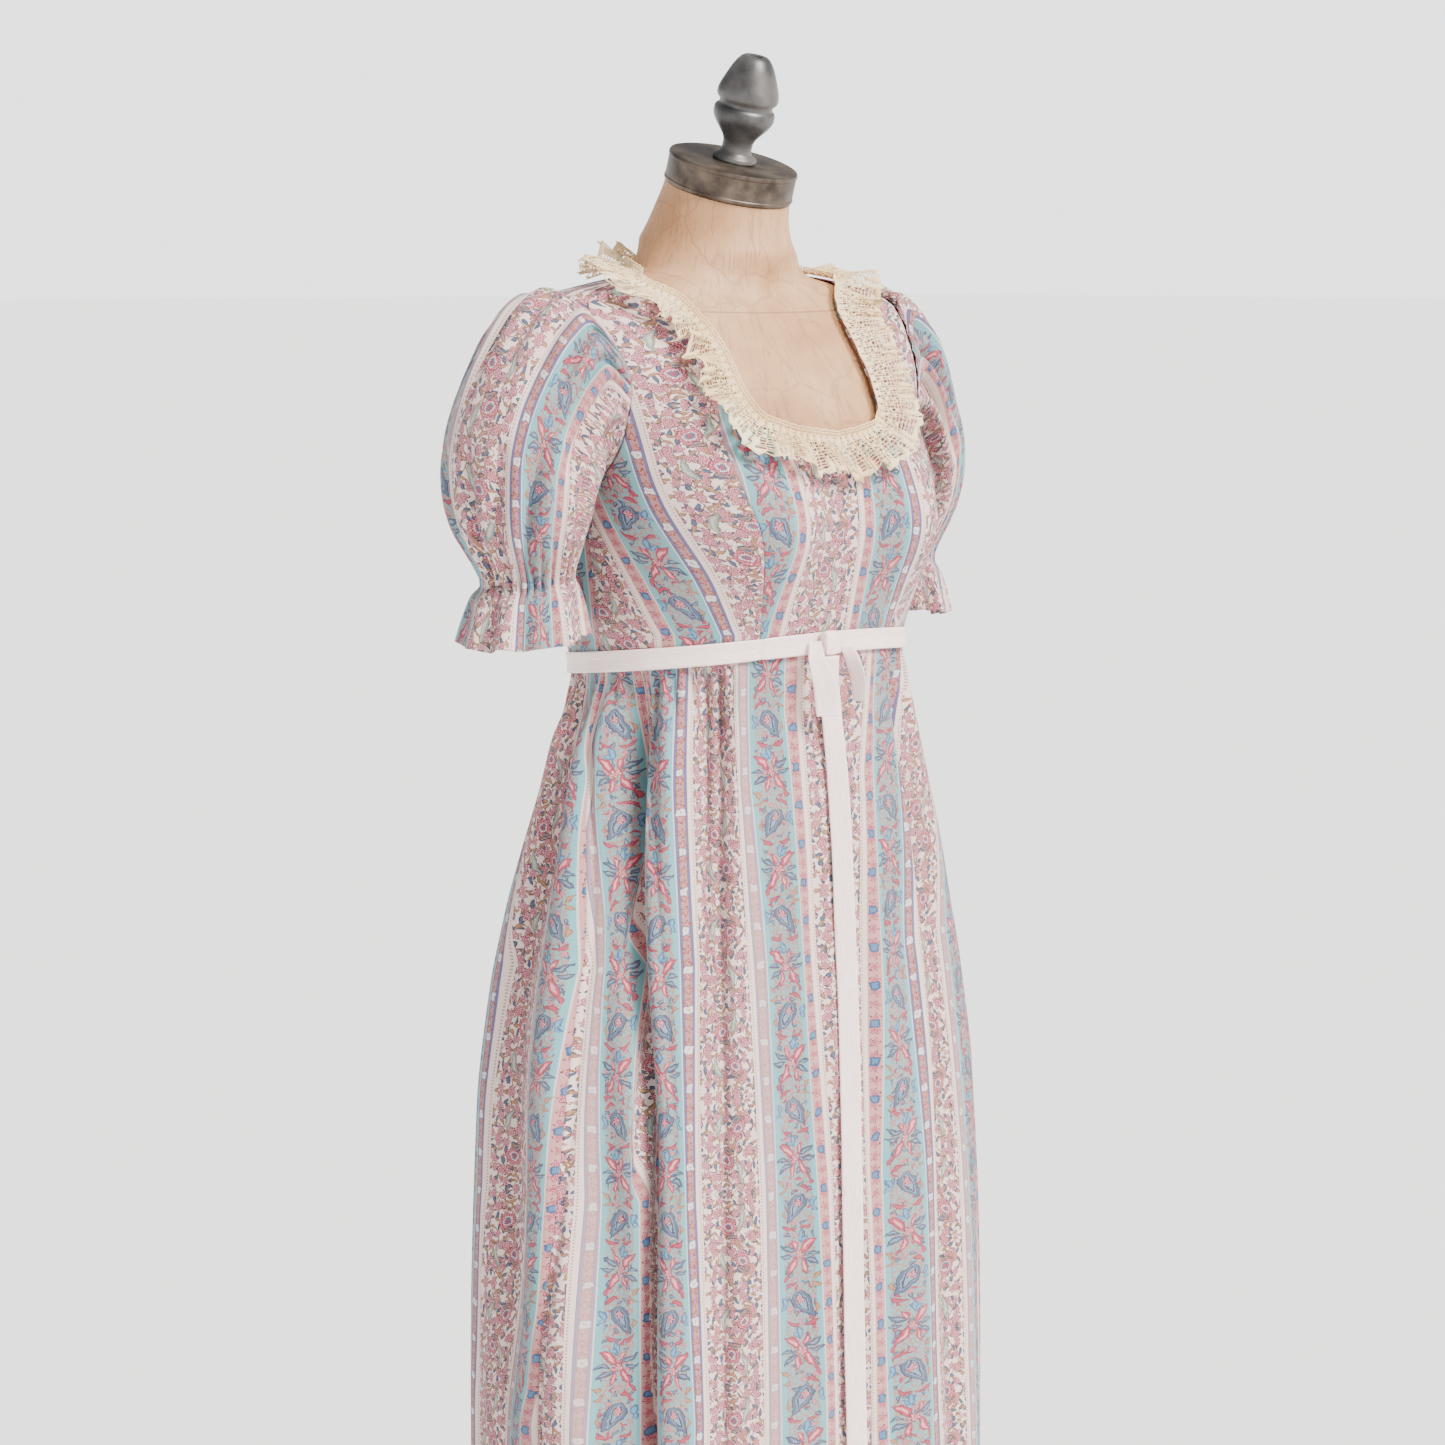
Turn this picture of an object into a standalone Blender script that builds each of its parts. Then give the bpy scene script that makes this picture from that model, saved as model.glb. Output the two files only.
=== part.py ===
"""Prairie dress on a limbless dress form.

An empire-line dress in printed cotton: a fitted bodice of five panels, two puff sleeves,
a crochet-lace ruffle round the scooped neck, a gathered floor-length skirt in two panels and
a ribbon tied at the raised waist. It hangs on a torso form with a metal neck cap, a cast
finial, and a pole on a round base plate.

Metres, +Z up. The wearer faces -Y, and the wearer's left is +X. The origin is the centre of
the base plate's underside.
"""
import math

import bmesh
import bpy
from mathutils import Matrix, Vector

for old in list(bpy.data.objects):
    bpy.data.objects.remove(old, do_unlink=True)

MM = 0.001

# Driving sizes
SEAM_GAP = 0.3 * MM
CLOTH = 1.2 * MM
RIBBON_CLOTH = 1.0 * MM
RIBBON_WIDTH = 16 * MM
LACE_WIDTH = 31 * MM
LACE_WAVES = 36
WAIST_HEIGHT = 1.122
WAIST_TILT = 14 * MM
HEM_HEIGHT = 0.060
ARMHOLE_FLOOR = 1.255
# Strips of a side panel: up the side seam, round one side of the armhole
SIDE_STRIPS = 7
ARMHOLE_STRIPS = 8
# Strips of the princess seam and of the centre-back seam; the rest lie along the neck edge
PRINCESS_STRIPS = 10
BACK_STRIPS = 9
SIDE_COLUMNS = 8
# The sleeve's columns for each strip of the armhole, and how far its head stands off the seam
HEAD_STEPS = 3
HEAD_STAND = 3.5 * MM
GATHER_STEP = 10.0
FLAT_FRONT = 42.0
SKIRT_SEAM = 80.0
KNOT_X = -0.011
# The ribbon's lift off the cloth at its top edge, its middle and its bottom edge
BAND_LIFTS = (2.4 * MM, 3.5 * MM, 4.2 * MM)
TAIL_END = 0.180

# The form: height, half width, front, back, middle, squareness
FORM_ROWS = (
    (0.720, 0.146, -0.092, 0.104, 0.000, 2.2),
    (0.780, 0.160, -0.098, 0.110, 0.000, 2.2),
    (0.860, 0.165, -0.100, 0.112, 0.000, 2.2),
    (0.940, 0.157, -0.097, 0.106, 0.000, 2.2),
    (1.000, 0.136, -0.090, 0.094, 0.000, 2.3),
    (1.045, 0.123, -0.087, 0.088, 0.000, 2.3),
    (1.090, 0.125, -0.093, 0.092, 0.000, 2.3),
    (1.130, 0.135, -0.1025, 0.101, 0.000, 2.3),
    (1.180, 0.142, -0.113, 0.105, 0.000, 2.4),
    (1.222, 0.147, -0.120, 0.109, 0.000, 2.4),
    (1.260, 0.152, -0.116, 0.112, 0.002, 2.4),
    (1.285, 0.157, -0.107, 0.112, 0.004, 2.3),
    (1.320, 0.170, -0.090, 0.109, 0.007, 2.2),
    (1.345, 0.182, -0.075, 0.104, 0.010, 2.1),
    (1.365, 0.187, -0.060, 0.098, 0.014, 2.0),
    (1.382, 0.178, -0.046, 0.091, 0.018, 2.0),
    (1.394, 0.155, -0.037, 0.084, 0.020, 2.0),
    (1.401, 0.120, -0.034, 0.080, 0.021, 2.0),
    (1.407, 0.086, -0.034, 0.077, 0.022, 2.0),
    (1.415, 0.071, -0.036, 0.0765, 0.023, 2.0),
    (1.425, 0.0645, -0.039, 0.0765, 0.0235, 2.0),
)
BUST_SPREAD = (0.090, 0.050, 1.222, 0.050)
BUST_RISE = 27 * MM
SHOULDER_SLIM = 2.8 * MM

# The neck above the shoulders: way along it, radius, lean in degrees
NECK_FOOT = Vector((0.0, 0.0215, 1.432))
NECK_LEAN = 17.6
NECK_ROWS = (
    (0.000, 0.0605, 5.0),
    (0.012, 0.0555, 10.0),
    (0.024, 0.0520, 15.0),
    (0.0345, 0.0497, 17.0),
    (0.0434, 0.0485, 17.6),
)

# The neck edge: turn from centre front, height on the wearer's right, height on the left
NECKLINE = (
    (0.0, 1.285, 1.285),
    (20.0, 1.290, 1.291),
    (28.0, 1.295, 1.300),
    (33.0, 1.299, 1.320),
    (37.0, 1.307, 1.345),
    (42.0, 1.325, 1.366),
    (46.0, 1.347, 1.377),
    (52.0, 1.368, 1.388),
    (63.0, 1.390, 1.398),
    (90.0, 1.408, 1.408),
    (122.0, 1.414, 1.414),
    (180.0, 1.417, 1.417),
)

# The princess seam: height, turn from centre front
PRINCESS = (
    (1.100, 34.5),
    (1.150, 35.5),
    (1.208, 40.0),
    (1.230, 42.0),
    (1.263, 45.0),
    (1.307, 47.5),
    (1.345, 45.5),
)

# The armhole: share from underarm to shoulder, turn in front, turn behind, height
ARMHOLE = (
    (0.00, 90.0, 90.0, 1.255),
    (0.15, 80.0, 100.0, 1.266),
    (0.40, 72.0, 109.0, 1.300),
    (0.60, 70.0, 111.0, 1.330),
    (0.80, 75.0, 106.0, 1.365),
    (0.92, 83.0, 97.0, 1.385),
    (1.00, 90.0, 90.0, 1.393),
)

# The sleeve: outer x, outer z, inner x, inner z, middle y, half depth, gather depth in mm
SLEEVE_ROWS = (
    (0.175, 1.3995, 0.1595, 1.2545, 0.018, 0.0665, 1.2),
    (0.199, 1.3890, 0.1605, 1.2500, 0.014, 0.0640, 2.2),
    (0.223, 1.3650, 0.1605, 1.2455, 0.010, 0.0610, 2.0),
    (0.245, 1.3300, 0.1615, 1.2400, 0.010, 0.0605, 1.4),
    (0.2590, 1.2920, 0.1620, 1.2330, 0.010, 0.0605, 1.2),
    (0.2600, 1.2560, 0.1620, 1.2240, 0.010, 0.0580, 1.2),
    (0.2530, 1.2230, 0.1635, 1.2130, 0.010, 0.0500, 1.8),
    (0.2335, 1.1850, 0.1680, 1.1930, 0.010, 0.0345, 1.2),
    (0.2415, 1.1690, 0.1640, 1.1780, 0.010, 0.0400, 2.4),
    (0.2500, 1.1370, 0.1600, 1.1460, 0.010, 0.0470, 3.4),
)
# The wearer's left sleeve hangs nearer the body: share of the reach that is kept
SLEEVES = (
    ("right", -1.0, 1.00),
    ("left", 1.0, 0.74),
)

# The skirt: height, half width, front, back
SKIRT_ROWS = (
    (0.060, 0.236, 0.151, 0.174),
    (0.489, 0.228, 0.1395, 0.155),
    (0.647, 0.227, 0.133, 0.146),
    (0.783, 0.223, 0.1255, 0.138),
    (0.870, 0.210, 0.120, 0.130),
    (0.926, 0.195, 0.116, 0.125),
    (0.965, 0.184, 0.114, 0.117),
    (1.010, 0.171, 0.111, 0.110),
    (1.050, 0.159, 0.1075, 0.104),
    (1.098, 0.143, 0.1045, 0.103),
    (1.150, 0.139, 0.106, 0.105),
)
SKIRT_POWER = 2.2
SKIRT_DROPS = (0.0, 0.022, 0.050, 0.085, 0.140, 0.235, 0.400, 0.640, 1.0)

# Folds of the skirt: turn at waist, turn at hem, half spread in degrees,
# depth in mm at the waist, at the knee and at the hem; hollows are below nought
FOLDS = (
    (-49.0, -47.0, 3.6, -4.0, -3.0, 0.0),
    (-56.0, -53.0, 3.2, -3.0, -1.0, 0.0),
    (-64.5, -56.0, 6.0, 4.0, 4.0, 4.0),
    (-75.0, -61.0, 4.2, -6.0, -10.0, -11.0),
    (-85.0, -71.0, 6.0, 4.0, 4.0, 5.0),
    (-95.0, -84.0, 4.5, -5.0, -5.0, -4.0),
    (-105.0, -98.0, 6.5, 4.0, 5.0, 5.0),
    (-118.0, -113.0, 5.5, -5.0, -6.0, -7.0),
    (-133.0, -129.0, 7.0, 4.0, 5.0, 6.0),
    (-148.0, -146.0, 5.5, -5.0, -7.0, -8.0),
    (-164.0, -163.0, 7.0, 4.0, 5.0, 6.0),
    (180.0, 180.0, 5.5, -4.0, -6.0, -7.0),
    (3.0, 2.0, 7.0, 0.0, -2.0, -5.0),
    (29.0, 31.0, 10.0, 0.0, 3.0, 5.0),
    (47.0, 46.0, 3.6, -4.0, -3.0, -1.0),
    (57.0, 54.0, 6.0, 4.0, 5.0, 5.0),
    (68.0, 63.0, 4.5, -6.0, -8.0, -8.0),
    (80.0, 74.0, 6.0, 4.0, 4.0, 5.0),
    (94.0, 86.0, 4.5, -5.0, -5.0, -4.0),
    (107.0, 101.0, 6.5, 4.0, 5.0, 6.0),
    (121.0, 117.0, 5.5, -5.0, -7.0, -8.0),
    (137.0, 133.0, 7.0, 4.0, 5.0, 6.0),
    (151.0, 149.0, 5.5, -5.0, -6.0, -7.0),
    (166.0, 165.0, 7.0, 4.0, 5.0, 6.0),
)
KNEE_SHARE = 0.45

# How far the lace stands off the bodice: turn, angle in degrees
LACE_STAND = (
    (0.0, 20.0),
    (36.0, 24.0),
    (60.0, 22.0),
    (85.0, 22.0),
    (105.0, 40.0),
    (130.0, 68.0),
    (180.0, 74.0),
)

# Ribbon ends below the knot: x, height, lift off the skirt, width, twist in degrees
LONG_TAIL = (
    (-0.0110, 1.1263, 0.0115, 0.0130, -4.0),
    (-0.0105, 1.1120, 0.0095, 0.0150, -12.0),
    (-0.0070, 1.0850, 0.0085, 0.0165, -22.0),
    (-0.0030, 1.0300, 0.0080, 0.0165, -28.0),
    (-0.0020, 0.9500, 0.0080, 0.0165, -28.0),
    (-0.0025, 0.8500, 0.0080, 0.0165, -26.0),
    (-0.0060, 0.7300, 0.0082, 0.0165, -24.0),
    (-0.0070, 0.6000, 0.0084, 0.0165, -26.0),
    (-0.0070, 0.4700, 0.0086, 0.0165, -28.0),
    (-0.0070, 0.3200, 0.0086, 0.0165, -24.0),
    (-0.0070, TAIL_END, 0.0086, 0.0165, -18.0),
)
SHORT_END = (
    (-0.0247, 1.1380, 0.0080, 0.0090, -30.0),
    (-0.0290, 1.1255, 0.0150, 0.0130, -30.0),
    (-0.0250, 1.1050, 0.0200, 0.0180, -28.0),
    (-0.0200, 1.0820, 0.0180, 0.0180, -26.0),
)
LOOPED_END = (
    (0.0030, 1.1330, 0.0125, 0.0100, -30.0),
    (0.0075, 1.1220, 0.0150, 0.0120, -48.0),
    (0.0150, 1.1070, 0.0140, 0.0120, -60.0),
    (0.0200, 1.0900, 0.0120, 0.0090, -64.0),
)


def smooth(share):
    """Ease from nought to one."""
    share = min(1.0, max(0.0, share))
    return share * share * (3.0 - 2.0 * share)


def read_table(table, place):
    """Smooth values at a place along a table whose first column rises."""
    last = len(table) - 1
    place = min(table[last][0], max(table[0][0], place))
    row = 0
    while row < last - 1 and place > table[row + 1][0]:
        row += 1
    low, high = table[row], table[row + 1]
    before, after = table[max(row - 1, 0)], table[min(row + 2, last)]
    width = high[0] - low[0]
    share = (place - low[0]) / width
    values = []
    for column in range(1, len(low)):
        rise = (high[column] - low[column]) / width
        slopes = []
        for first, second in ((before, high), (low, after)):
            near = low if first is before else high
            left = (near[column] - first[column]) / max(near[0] - first[0], 1e-9)
            right = (second[column] - near[column]) / max(second[0] - near[0], 1e-9)
            if first is near:
                left = right
            if second is near:
                right = left
            slopes.append(2.0 * left * right / (left + right) if left * right > 0.0 else 0.0)
        if row == 0:
            slopes[0] = rise
        if row + 1 == last:
            slopes[1] = rise
        square, cube = share * share, share ** 3
        values.append(
            (2 * cube - 3 * square + 1) * low[column]
            + (cube - 2 * square + share) * width * slopes[0]
            + (3 * square - 2 * cube) * high[column]
            + (cube - square) * width * slopes[1]
        )
    return values


def ring_reach(turn, half, front, back, power):
    """Distance from the axis to a rounded oval, in the direction of a turn."""
    sine, cosine = abs(math.sin(turn)), math.cos(turn)
    depth = front if cosine > 0.0 else back
    return ((sine / half) ** power + (abs(cosine) / depth) ** power) ** (-1.0 / power)


def form_skin(turn, height):
    """A point on the form's surface; the turn is in degrees from centre front."""
    half, front, back, middle, power = read_table(FORM_ROWS, height)
    angle = math.radians(turn)
    reach = ring_reach(angle, half, middle - front, back - middle, power)
    x = reach * math.sin(angle)
    y = middle - reach * math.cos(angle)
    side, side_spread, level, level_spread = BUST_SPREAD
    swell = math.exp(-(((abs(x) - side) / side_spread) ** 2) - ((height - level) / level_spread) ** 2)
    y -= BUST_RISE * swell * max(0.0, math.cos(angle))
    return Vector((x, y, height))


def form_normal(turn, height):
    """The outward direction of the form's surface."""
    step = 0.05
    rise = 0.4 * MM
    across = form_skin(turn + step, height) - form_skin(turn - step, height)
    up = form_skin(turn, height + rise) - form_skin(turn, height - rise)
    return across.cross(up).normalized()


def clearance(height):
    """How far the middle of the bodice's cloth lies off the form."""
    settled = smooth((height - 1.33) / 0.055)
    return (3.0 - 0.9 * settled) * MM


def on_bodice(turn, height, lift=0.0):
    """A point in the middle of the bodice's cloth, moved out by a lift."""
    off = clearance(height) + lift
    return form_skin(turn, height) + form_normal(turn, height) * off


def waist_line(turn):
    """Height of the raised waist seam: it is higher in front than behind."""
    return WAIST_HEIGHT + WAIST_TILT * math.cos(math.radians(turn))


def finish(name, mesh, colour, roughness, metallic=0.0):
    """Make the named object with its own material."""
    bm = bmesh.new()
    bm.from_mesh(mesh)
    bmesh.ops.triangulate(bm, faces=bm.faces[:])
    bm.to_mesh(mesh)
    bm.free()
    obj = bpy.data.objects.new(name, mesh)
    bpy.context.collection.objects.link(obj)
    material = bpy.data.materials.new(name)
    material.use_nodes = True
    shader = material.node_tree.nodes["Principled BSDF"]
    shader.inputs["Base Color"].default_value = (*colour, 1.0)
    shader.inputs["Roughness"].default_value = roughness
    shader.inputs["Metallic"].default_value = metallic
    mesh.materials.append(material)
    mesh.shade_smooth()
    mesh.set_sharp_from_angle(angle=math.radians(40))
    return obj


def sheet_mesh(name, rows, ring=False):
    """A sheet of quads through rows of points."""
    bm = bmesh.new()
    grid = [[bm.verts.new(point) for point in row] for row in rows]
    count = len(grid[0])
    for lower, upper in zip(grid, grid[1:]):
        for column in range(count if ring else count - 1):
            following = (column + 1) % count
            bm.faces.new((lower[column], lower[following], upper[following], upper[column]))
    mesh = bpy.data.meshes.new(name)
    bm.to_mesh(mesh)
    bm.free()
    return mesh


def wall_piece(name, outer, inner, colour, roughness=0.85, ring=False):
    """A piece of cloth between an outer and an inner grid of points."""
    bm = bmesh.new()
    skins = [[[bm.verts.new(point) for point in row] for row in grid] for grid in (outer, inner)]
    count = len(outer[0])
    for skin in skins:
        for lower, upper in zip(skin, skin[1:]):
            for column in range(count if ring else count - 1):
                following = (column + 1) % count
                bm.faces.new((lower[column], lower[following], upper[following], upper[column]))
    edges = [[skin[0] for skin in skins], [skin[-1] for skin in skins]]
    if not ring:
        edges.append([[row[0] for row in skin] for skin in skins])
        edges.append([[row[-1] for row in skin] for skin in skins])
    for near, far in edges:
        for column in range(len(near) if ring else len(near) - 1):
            following = (column + 1) % len(near)
            bm.faces.new((near[column], near[following], far[following], far[column]))
    bmesh.ops.recalc_face_normals(bm, faces=bm.faces)
    mesh = bpy.data.meshes.new(name)
    bm.to_mesh(mesh)
    bm.free()
    return finish(name, mesh, colour, roughness)


def cloth_piece(name, rows, wall, colour, roughness=0.85, ring=False):
    """A piece of cloth: a sheet given a wall of even thickness about its middle."""
    obj = finish(name, sheet_mesh(name, rows, ring), colour, roughness)
    solid = obj.modifiers.new("wall", "SOLIDIFY")
    solid.thickness = wall
    solid.offset = 0.0
    solid.use_rim = True
    return obj


def solid_rings(name, rings, colour, roughness, metallic=0.0):
    """A solid through closed rings, with flat ends."""
    bm = bmesh.new()
    loops = [[bm.verts.new(point) for point in ring] for ring in rings]
    count = len(loops[0])
    for lower, upper in zip(loops, loops[1:]):
        for column in range(count):
            following = (column + 1) % count
            bm.faces.new((lower[column], lower[following], upper[following], upper[column]))
    bm.faces.new(loops[0])
    bm.faces.new(loops[-1])
    bmesh.ops.recalc_face_normals(bm, faces=bm.faces)
    mesh = bpy.data.meshes.new(name)
    bm.to_mesh(mesh)
    bm.free()
    return finish(name, mesh, colour, roughness, metallic)


def turned(name, profile, sides, foot, lean, colour, roughness, metallic):
    """A solid turned from (radius, height) pairs about an axis that leans to the front."""
    place = Matrix.Translation(foot) @ Matrix.Rotation(math.radians(lean), 4, "X")
    rings = []
    for radius, height in profile:
        ring = []
        for side in range(sides):
            angle = math.tau * side / sides
            ring.append(place @ Vector((radius * math.cos(angle), radius * math.sin(angle), height)))
        rings.append(ring)
    return solid_rings(name, rings, colour, roughness, metallic)


# Colours of the solids
PRINT_CREAM = (0.80, 0.70, 0.62)
PRINT_AQUA = (0.42, 0.62, 0.62)
PRINT_ROSE = (0.66, 0.45, 0.42)
LACE_CREAM = (0.86, 0.74, 0.55)
RIBBON_PINK = (0.84, 0.68, 0.64)
PAPER_TAN = (0.66, 0.52, 0.40)
BRONZE = (0.11, 0.09, 0.07)
CAST_GREY = (0.09, 0.10, 0.11)


def build_torso():
    """The papered torso with its neck: rings of the form, then rings that lean with the neck."""
    sides = 30
    heights = (0.720, 0.790, 0.870, 0.940, 0.990, 1.030, 1.070, 1.105, 1.140, 1.170, 1.200,
               1.225, 1.250, 1.277, 1.305, 1.330, 1.350, 1.367, 1.380, 1.390, 1.397, 1.402,
               1.407, 1.4105, 1.414, 1.418, 1.423)
    rings = []
    for height in heights:
        # The shoulders lie a little under the cloth's shape, clear of its flat facets
        slim = SHOULDER_SLIM * smooth((height - 1.33) / 0.025) * smooth((1.405 - height) / 0.008)
        ring = []
        for side in range(sides):
            turn = 360.0 * side / sides
            ring.append(form_skin(turn, height) - form_normal(turn, height) * slim)
        rings.append(ring)
    axis = Vector((0.0, -math.sin(math.radians(NECK_LEAN)), math.cos(math.radians(NECK_LEAN))))
    for along, radius, lean in NECK_ROWS:
        tilt = Matrix.Rotation(math.radians(lean), 4, "X")
        centre = NECK_FOOT + axis * along
        ring = []
        for side in range(sides):
            angle = math.tau * side / sides
            spoke = tilt @ Vector((math.sin(angle), -math.cos(angle), 0.0))
            ring.append(centre + spoke * radius)
        rings.append(ring)
    solid_rings("form_torso", rings, PAPER_TAN, 0.75)
    return NECK_FOOT + axis * (NECK_ROWS[-1][0] + SEAM_GAP), axis


def build_neck_metal(foot, axis):
    """The bronze cap on the neck and the cast acorn finial on the cap."""
    thick = 23.5 * MM
    cap = ((0.0470, 0.0), (0.0500, 0.0015), (0.0500, 0.0215), (0.0490, 0.0230), (0.0475, thick))
    turned("form_neck_cap", cap, 32, foot, NECK_LEAN, BRONZE, 0.45, 1.0)
    acorn = (
        (0.0168, 0.0), (0.0168, 0.0035), (0.0120, 0.0060), (0.0115, 0.0150), (0.0150, 0.0210),
        (0.0215, 0.0300), (0.0235, 0.0345), (0.0235, 0.0390), (0.0206, 0.0420), (0.0206, 0.0455),
        (0.0237, 0.0485), (0.0237, 0.0530), (0.0205, 0.0620), (0.0165, 0.0720), (0.0125, 0.0780),
        (0.0085, 0.0810), (0.0055, 0.0810), (0.0050, 0.0770),
    )
    turned("form_finial", acorn, 16, foot + axis * (thick + SEAM_GAP), NECK_LEAN, CAST_GREY, 0.5, 1.0)


def build_stand():
    """The collar under the torso, the pole, and the round base plate."""
    straight = 0.0
    plate_top = 14 * MM
    base = ((0.1780, 0.0), (0.1800, 0.0020), (0.1800, 0.0080), (0.1760, 0.0105), (0.0400, plate_top))
    turned("form_base", base, 40, Vector((0, 0, 0)), straight, CAST_GREY, 0.5, 1.0)
    torso_floor = FORM_ROWS[0][0]
    collar_tall = 22 * MM
    collar_foot = torso_floor - SEAM_GAP - collar_tall
    collar = ((0.0180, 0.0), (0.0240, 0.0030), (0.0240, 0.0120), (0.0400, 0.0160), (0.0400, collar_tall))
    turned("form_collar", collar, 20, Vector((0, 0, collar_foot)), straight, CAST_GREY, 0.5, 1.0)
    pole_foot = plate_top + SEAM_GAP
    pole_tall = collar_foot - SEAM_GAP - pole_foot
    pole = (
        (0.0300, 0.0), (0.0300, 0.0060), (0.0200, 0.0160), (0.0140, 0.0240),
        (0.0140, pole_tall),
    )
    turned("form_pole", pole, 20, Vector((0, 0, pole_foot)), straight, CAST_GREY, 0.4, 1.0)


def seam_turn(height, turn):
    """Half a seam gap, as degrees of turn at a place on the bodice."""
    reach = form_skin(turn, height).xy.length
    return math.degrees(0.5 * SEAM_GAP / max(reach, 0.06))


def neck_height(turn):
    """Height of the neck edge at a turn."""
    right, left = read_table(NECKLINE, abs(turn))
    return left if turn > 0.0 else right


def princess_turn(height):
    """Turn of the princess seam at a height."""
    return read_table(PRINCESS, height)[0]


def princess_height(foot, top, strip):
    """Height of a strip on the princess seam: what rises over its usual top is in the last strips."""
    usual = min(top, PRINCESS[-1][0])
    last = max(0, strip - SIDE_STRIPS) / (PRINCESS_STRIPS - SIDE_STRIPS)
    return foot + (usual - foot) * strip / PRINCESS_STRIPS + (top - usual) * last


def neck_edge_on_column(share):
    """Where a column of the centre front panel meets the neck edge."""
    low, high = NECKLINE[0][1] - 0.01, NECKLINE[-1][1]
    for _ in range(40):
        height = 0.5 * (low + high)
        if height < neck_height(share * princess_turn(height)):
            low = height
        else:
            high = height
    return 0.5 * (low + high)


def bodice_piece(name, places, colour):
    """A bodice panel through rows of turns and heights; the first row is level at the waist."""
    skins = []
    for lift in (0.5 * CLOTH, -0.5 * CLOTH):
        grid = [[on_bodice(turn, height, lift) for turn, height in row] for row in places]
        for point, (turn, height) in zip(grid[0], places[0]):
            point.z = height
        skins.append(grid)
    wall_piece(name, skins[0], skins[1], colour)


def build_centre_front():
    """The centre front panel, from the waist to the bottom of the scoop."""
    columns = 12
    places = []
    for strip in range(PRINCESS_STRIPS + 1):
        row = []
        for column in range(columns + 1):
            share = 2.0 * column / columns - 1.0
            top = neck_edge_on_column(share)
            foot = waist_line(share * princess_turn(WAIST_HEIGHT)) + 0.5 * SEAM_GAP
            height = princess_height(foot, top, strip)
            edge = princess_turn(height)
            edge -= seam_turn(height, edge)
            row.append((share * edge, height))
        places.append(row)
    bodice_piece("bodice_front_centre", places, PRINT_CREAM)


def armhole_point(share, front):
    """Turn and height of the armhole edge, from the underarm to the shoulder."""
    ahead, behind, height = read_table(ARMHOLE, share)
    return (ahead if front else behind), height


def side_edge(strip, front):
    """The outer edge of a side panel: the side seam, then the armhole."""
    if strip <= SIDE_STRIPS:
        foot = waist_line(90.0) + 0.5 * SEAM_GAP
        return 90.0, foot + (ARMHOLE_FLOOR - foot) * strip / SIDE_STRIPS
    return armhole_point((strip - SIDE_STRIPS) / ARMHOLE_STRIPS, front)


def build_side_front(side_name, side):
    """A side front panel: princess seam and neck edge inside, side seam and armhole outside."""
    strips = SIDE_STRIPS + ARMHOLE_STRIPS
    foot = waist_line(princess_turn(WAIST_HEIGHT)) + 0.5 * SEAM_GAP
    princess_top = neck_edge_on_column(side)
    start = princess_turn(princess_top)
    places = []
    for strip in range(strips + 1):
        if strip <= PRINCESS_STRIPS:
            height = princess_height(foot, princess_top, strip)
            turn = princess_turn(height)
            turn += seam_turn(height, turn)
        else:
            along = (strip - PRINCESS_STRIPS) / (strips - PRINCESS_STRIPS)
            turn = start + (90.0 - start) * along
            height = neck_height(side * turn)
            turn += seam_turn(height, turn) * (1.0 - along)
        outer_turn, outer_height = side_edge(strip, True)
        row = []
        for column in range(SIDE_COLUMNS + 1):
            share = column / SIDE_COLUMNS
            here = turn + (outer_turn - turn) * share
            level = height + (outer_height - height) * share
            here = min(here, 90.0 - seam_turn(level, 90.0))
            if strip == 0:
                level = waist_line(here) + 0.5 * SEAM_GAP
            row.append((side * here, level))
        places.append(row)
    bodice_piece("bodice_front_side_" + side_name, places, PRINT_AQUA)


def build_back(side_name, side):
    """A back panel: centre-back seam and neck edge inside, side seam and armhole outside."""
    strips = SIDE_STRIPS + ARMHOLE_STRIPS
    foot = waist_line(180.0) + 0.5 * SEAM_GAP
    neck_top = NECKLINE[-1][1]
    places = []
    for strip in range(strips + 1):
        if strip <= BACK_STRIPS:
            turn = 180.0
            height = foot + (neck_top - foot) * strip / BACK_STRIPS
        else:
            turn = 180.0 - 90.0 * (strip - BACK_STRIPS) / (strips - BACK_STRIPS)
            height = neck_height(turn)
        outer_turn, outer_height = side_edge(strip, False)
        row = []
        for column in range(SIDE_COLUMNS + 1):
            share = column / SIDE_COLUMNS
            here = turn + (outer_turn - turn) * share
            level = height + (outer_height - height) * share
            here = max(here, 90.0 + seam_turn(level, 90.0))
            here = min(here, 180.0 - seam_turn(level, 180.0))
            if strip == 0:
                level = waist_line(here) + 0.5 * SEAM_GAP
            row.append((side * here, level))
        places.append(row)
    bodice_piece("bodice_back_" + side_name, places, PRINT_CREAM)


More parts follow.
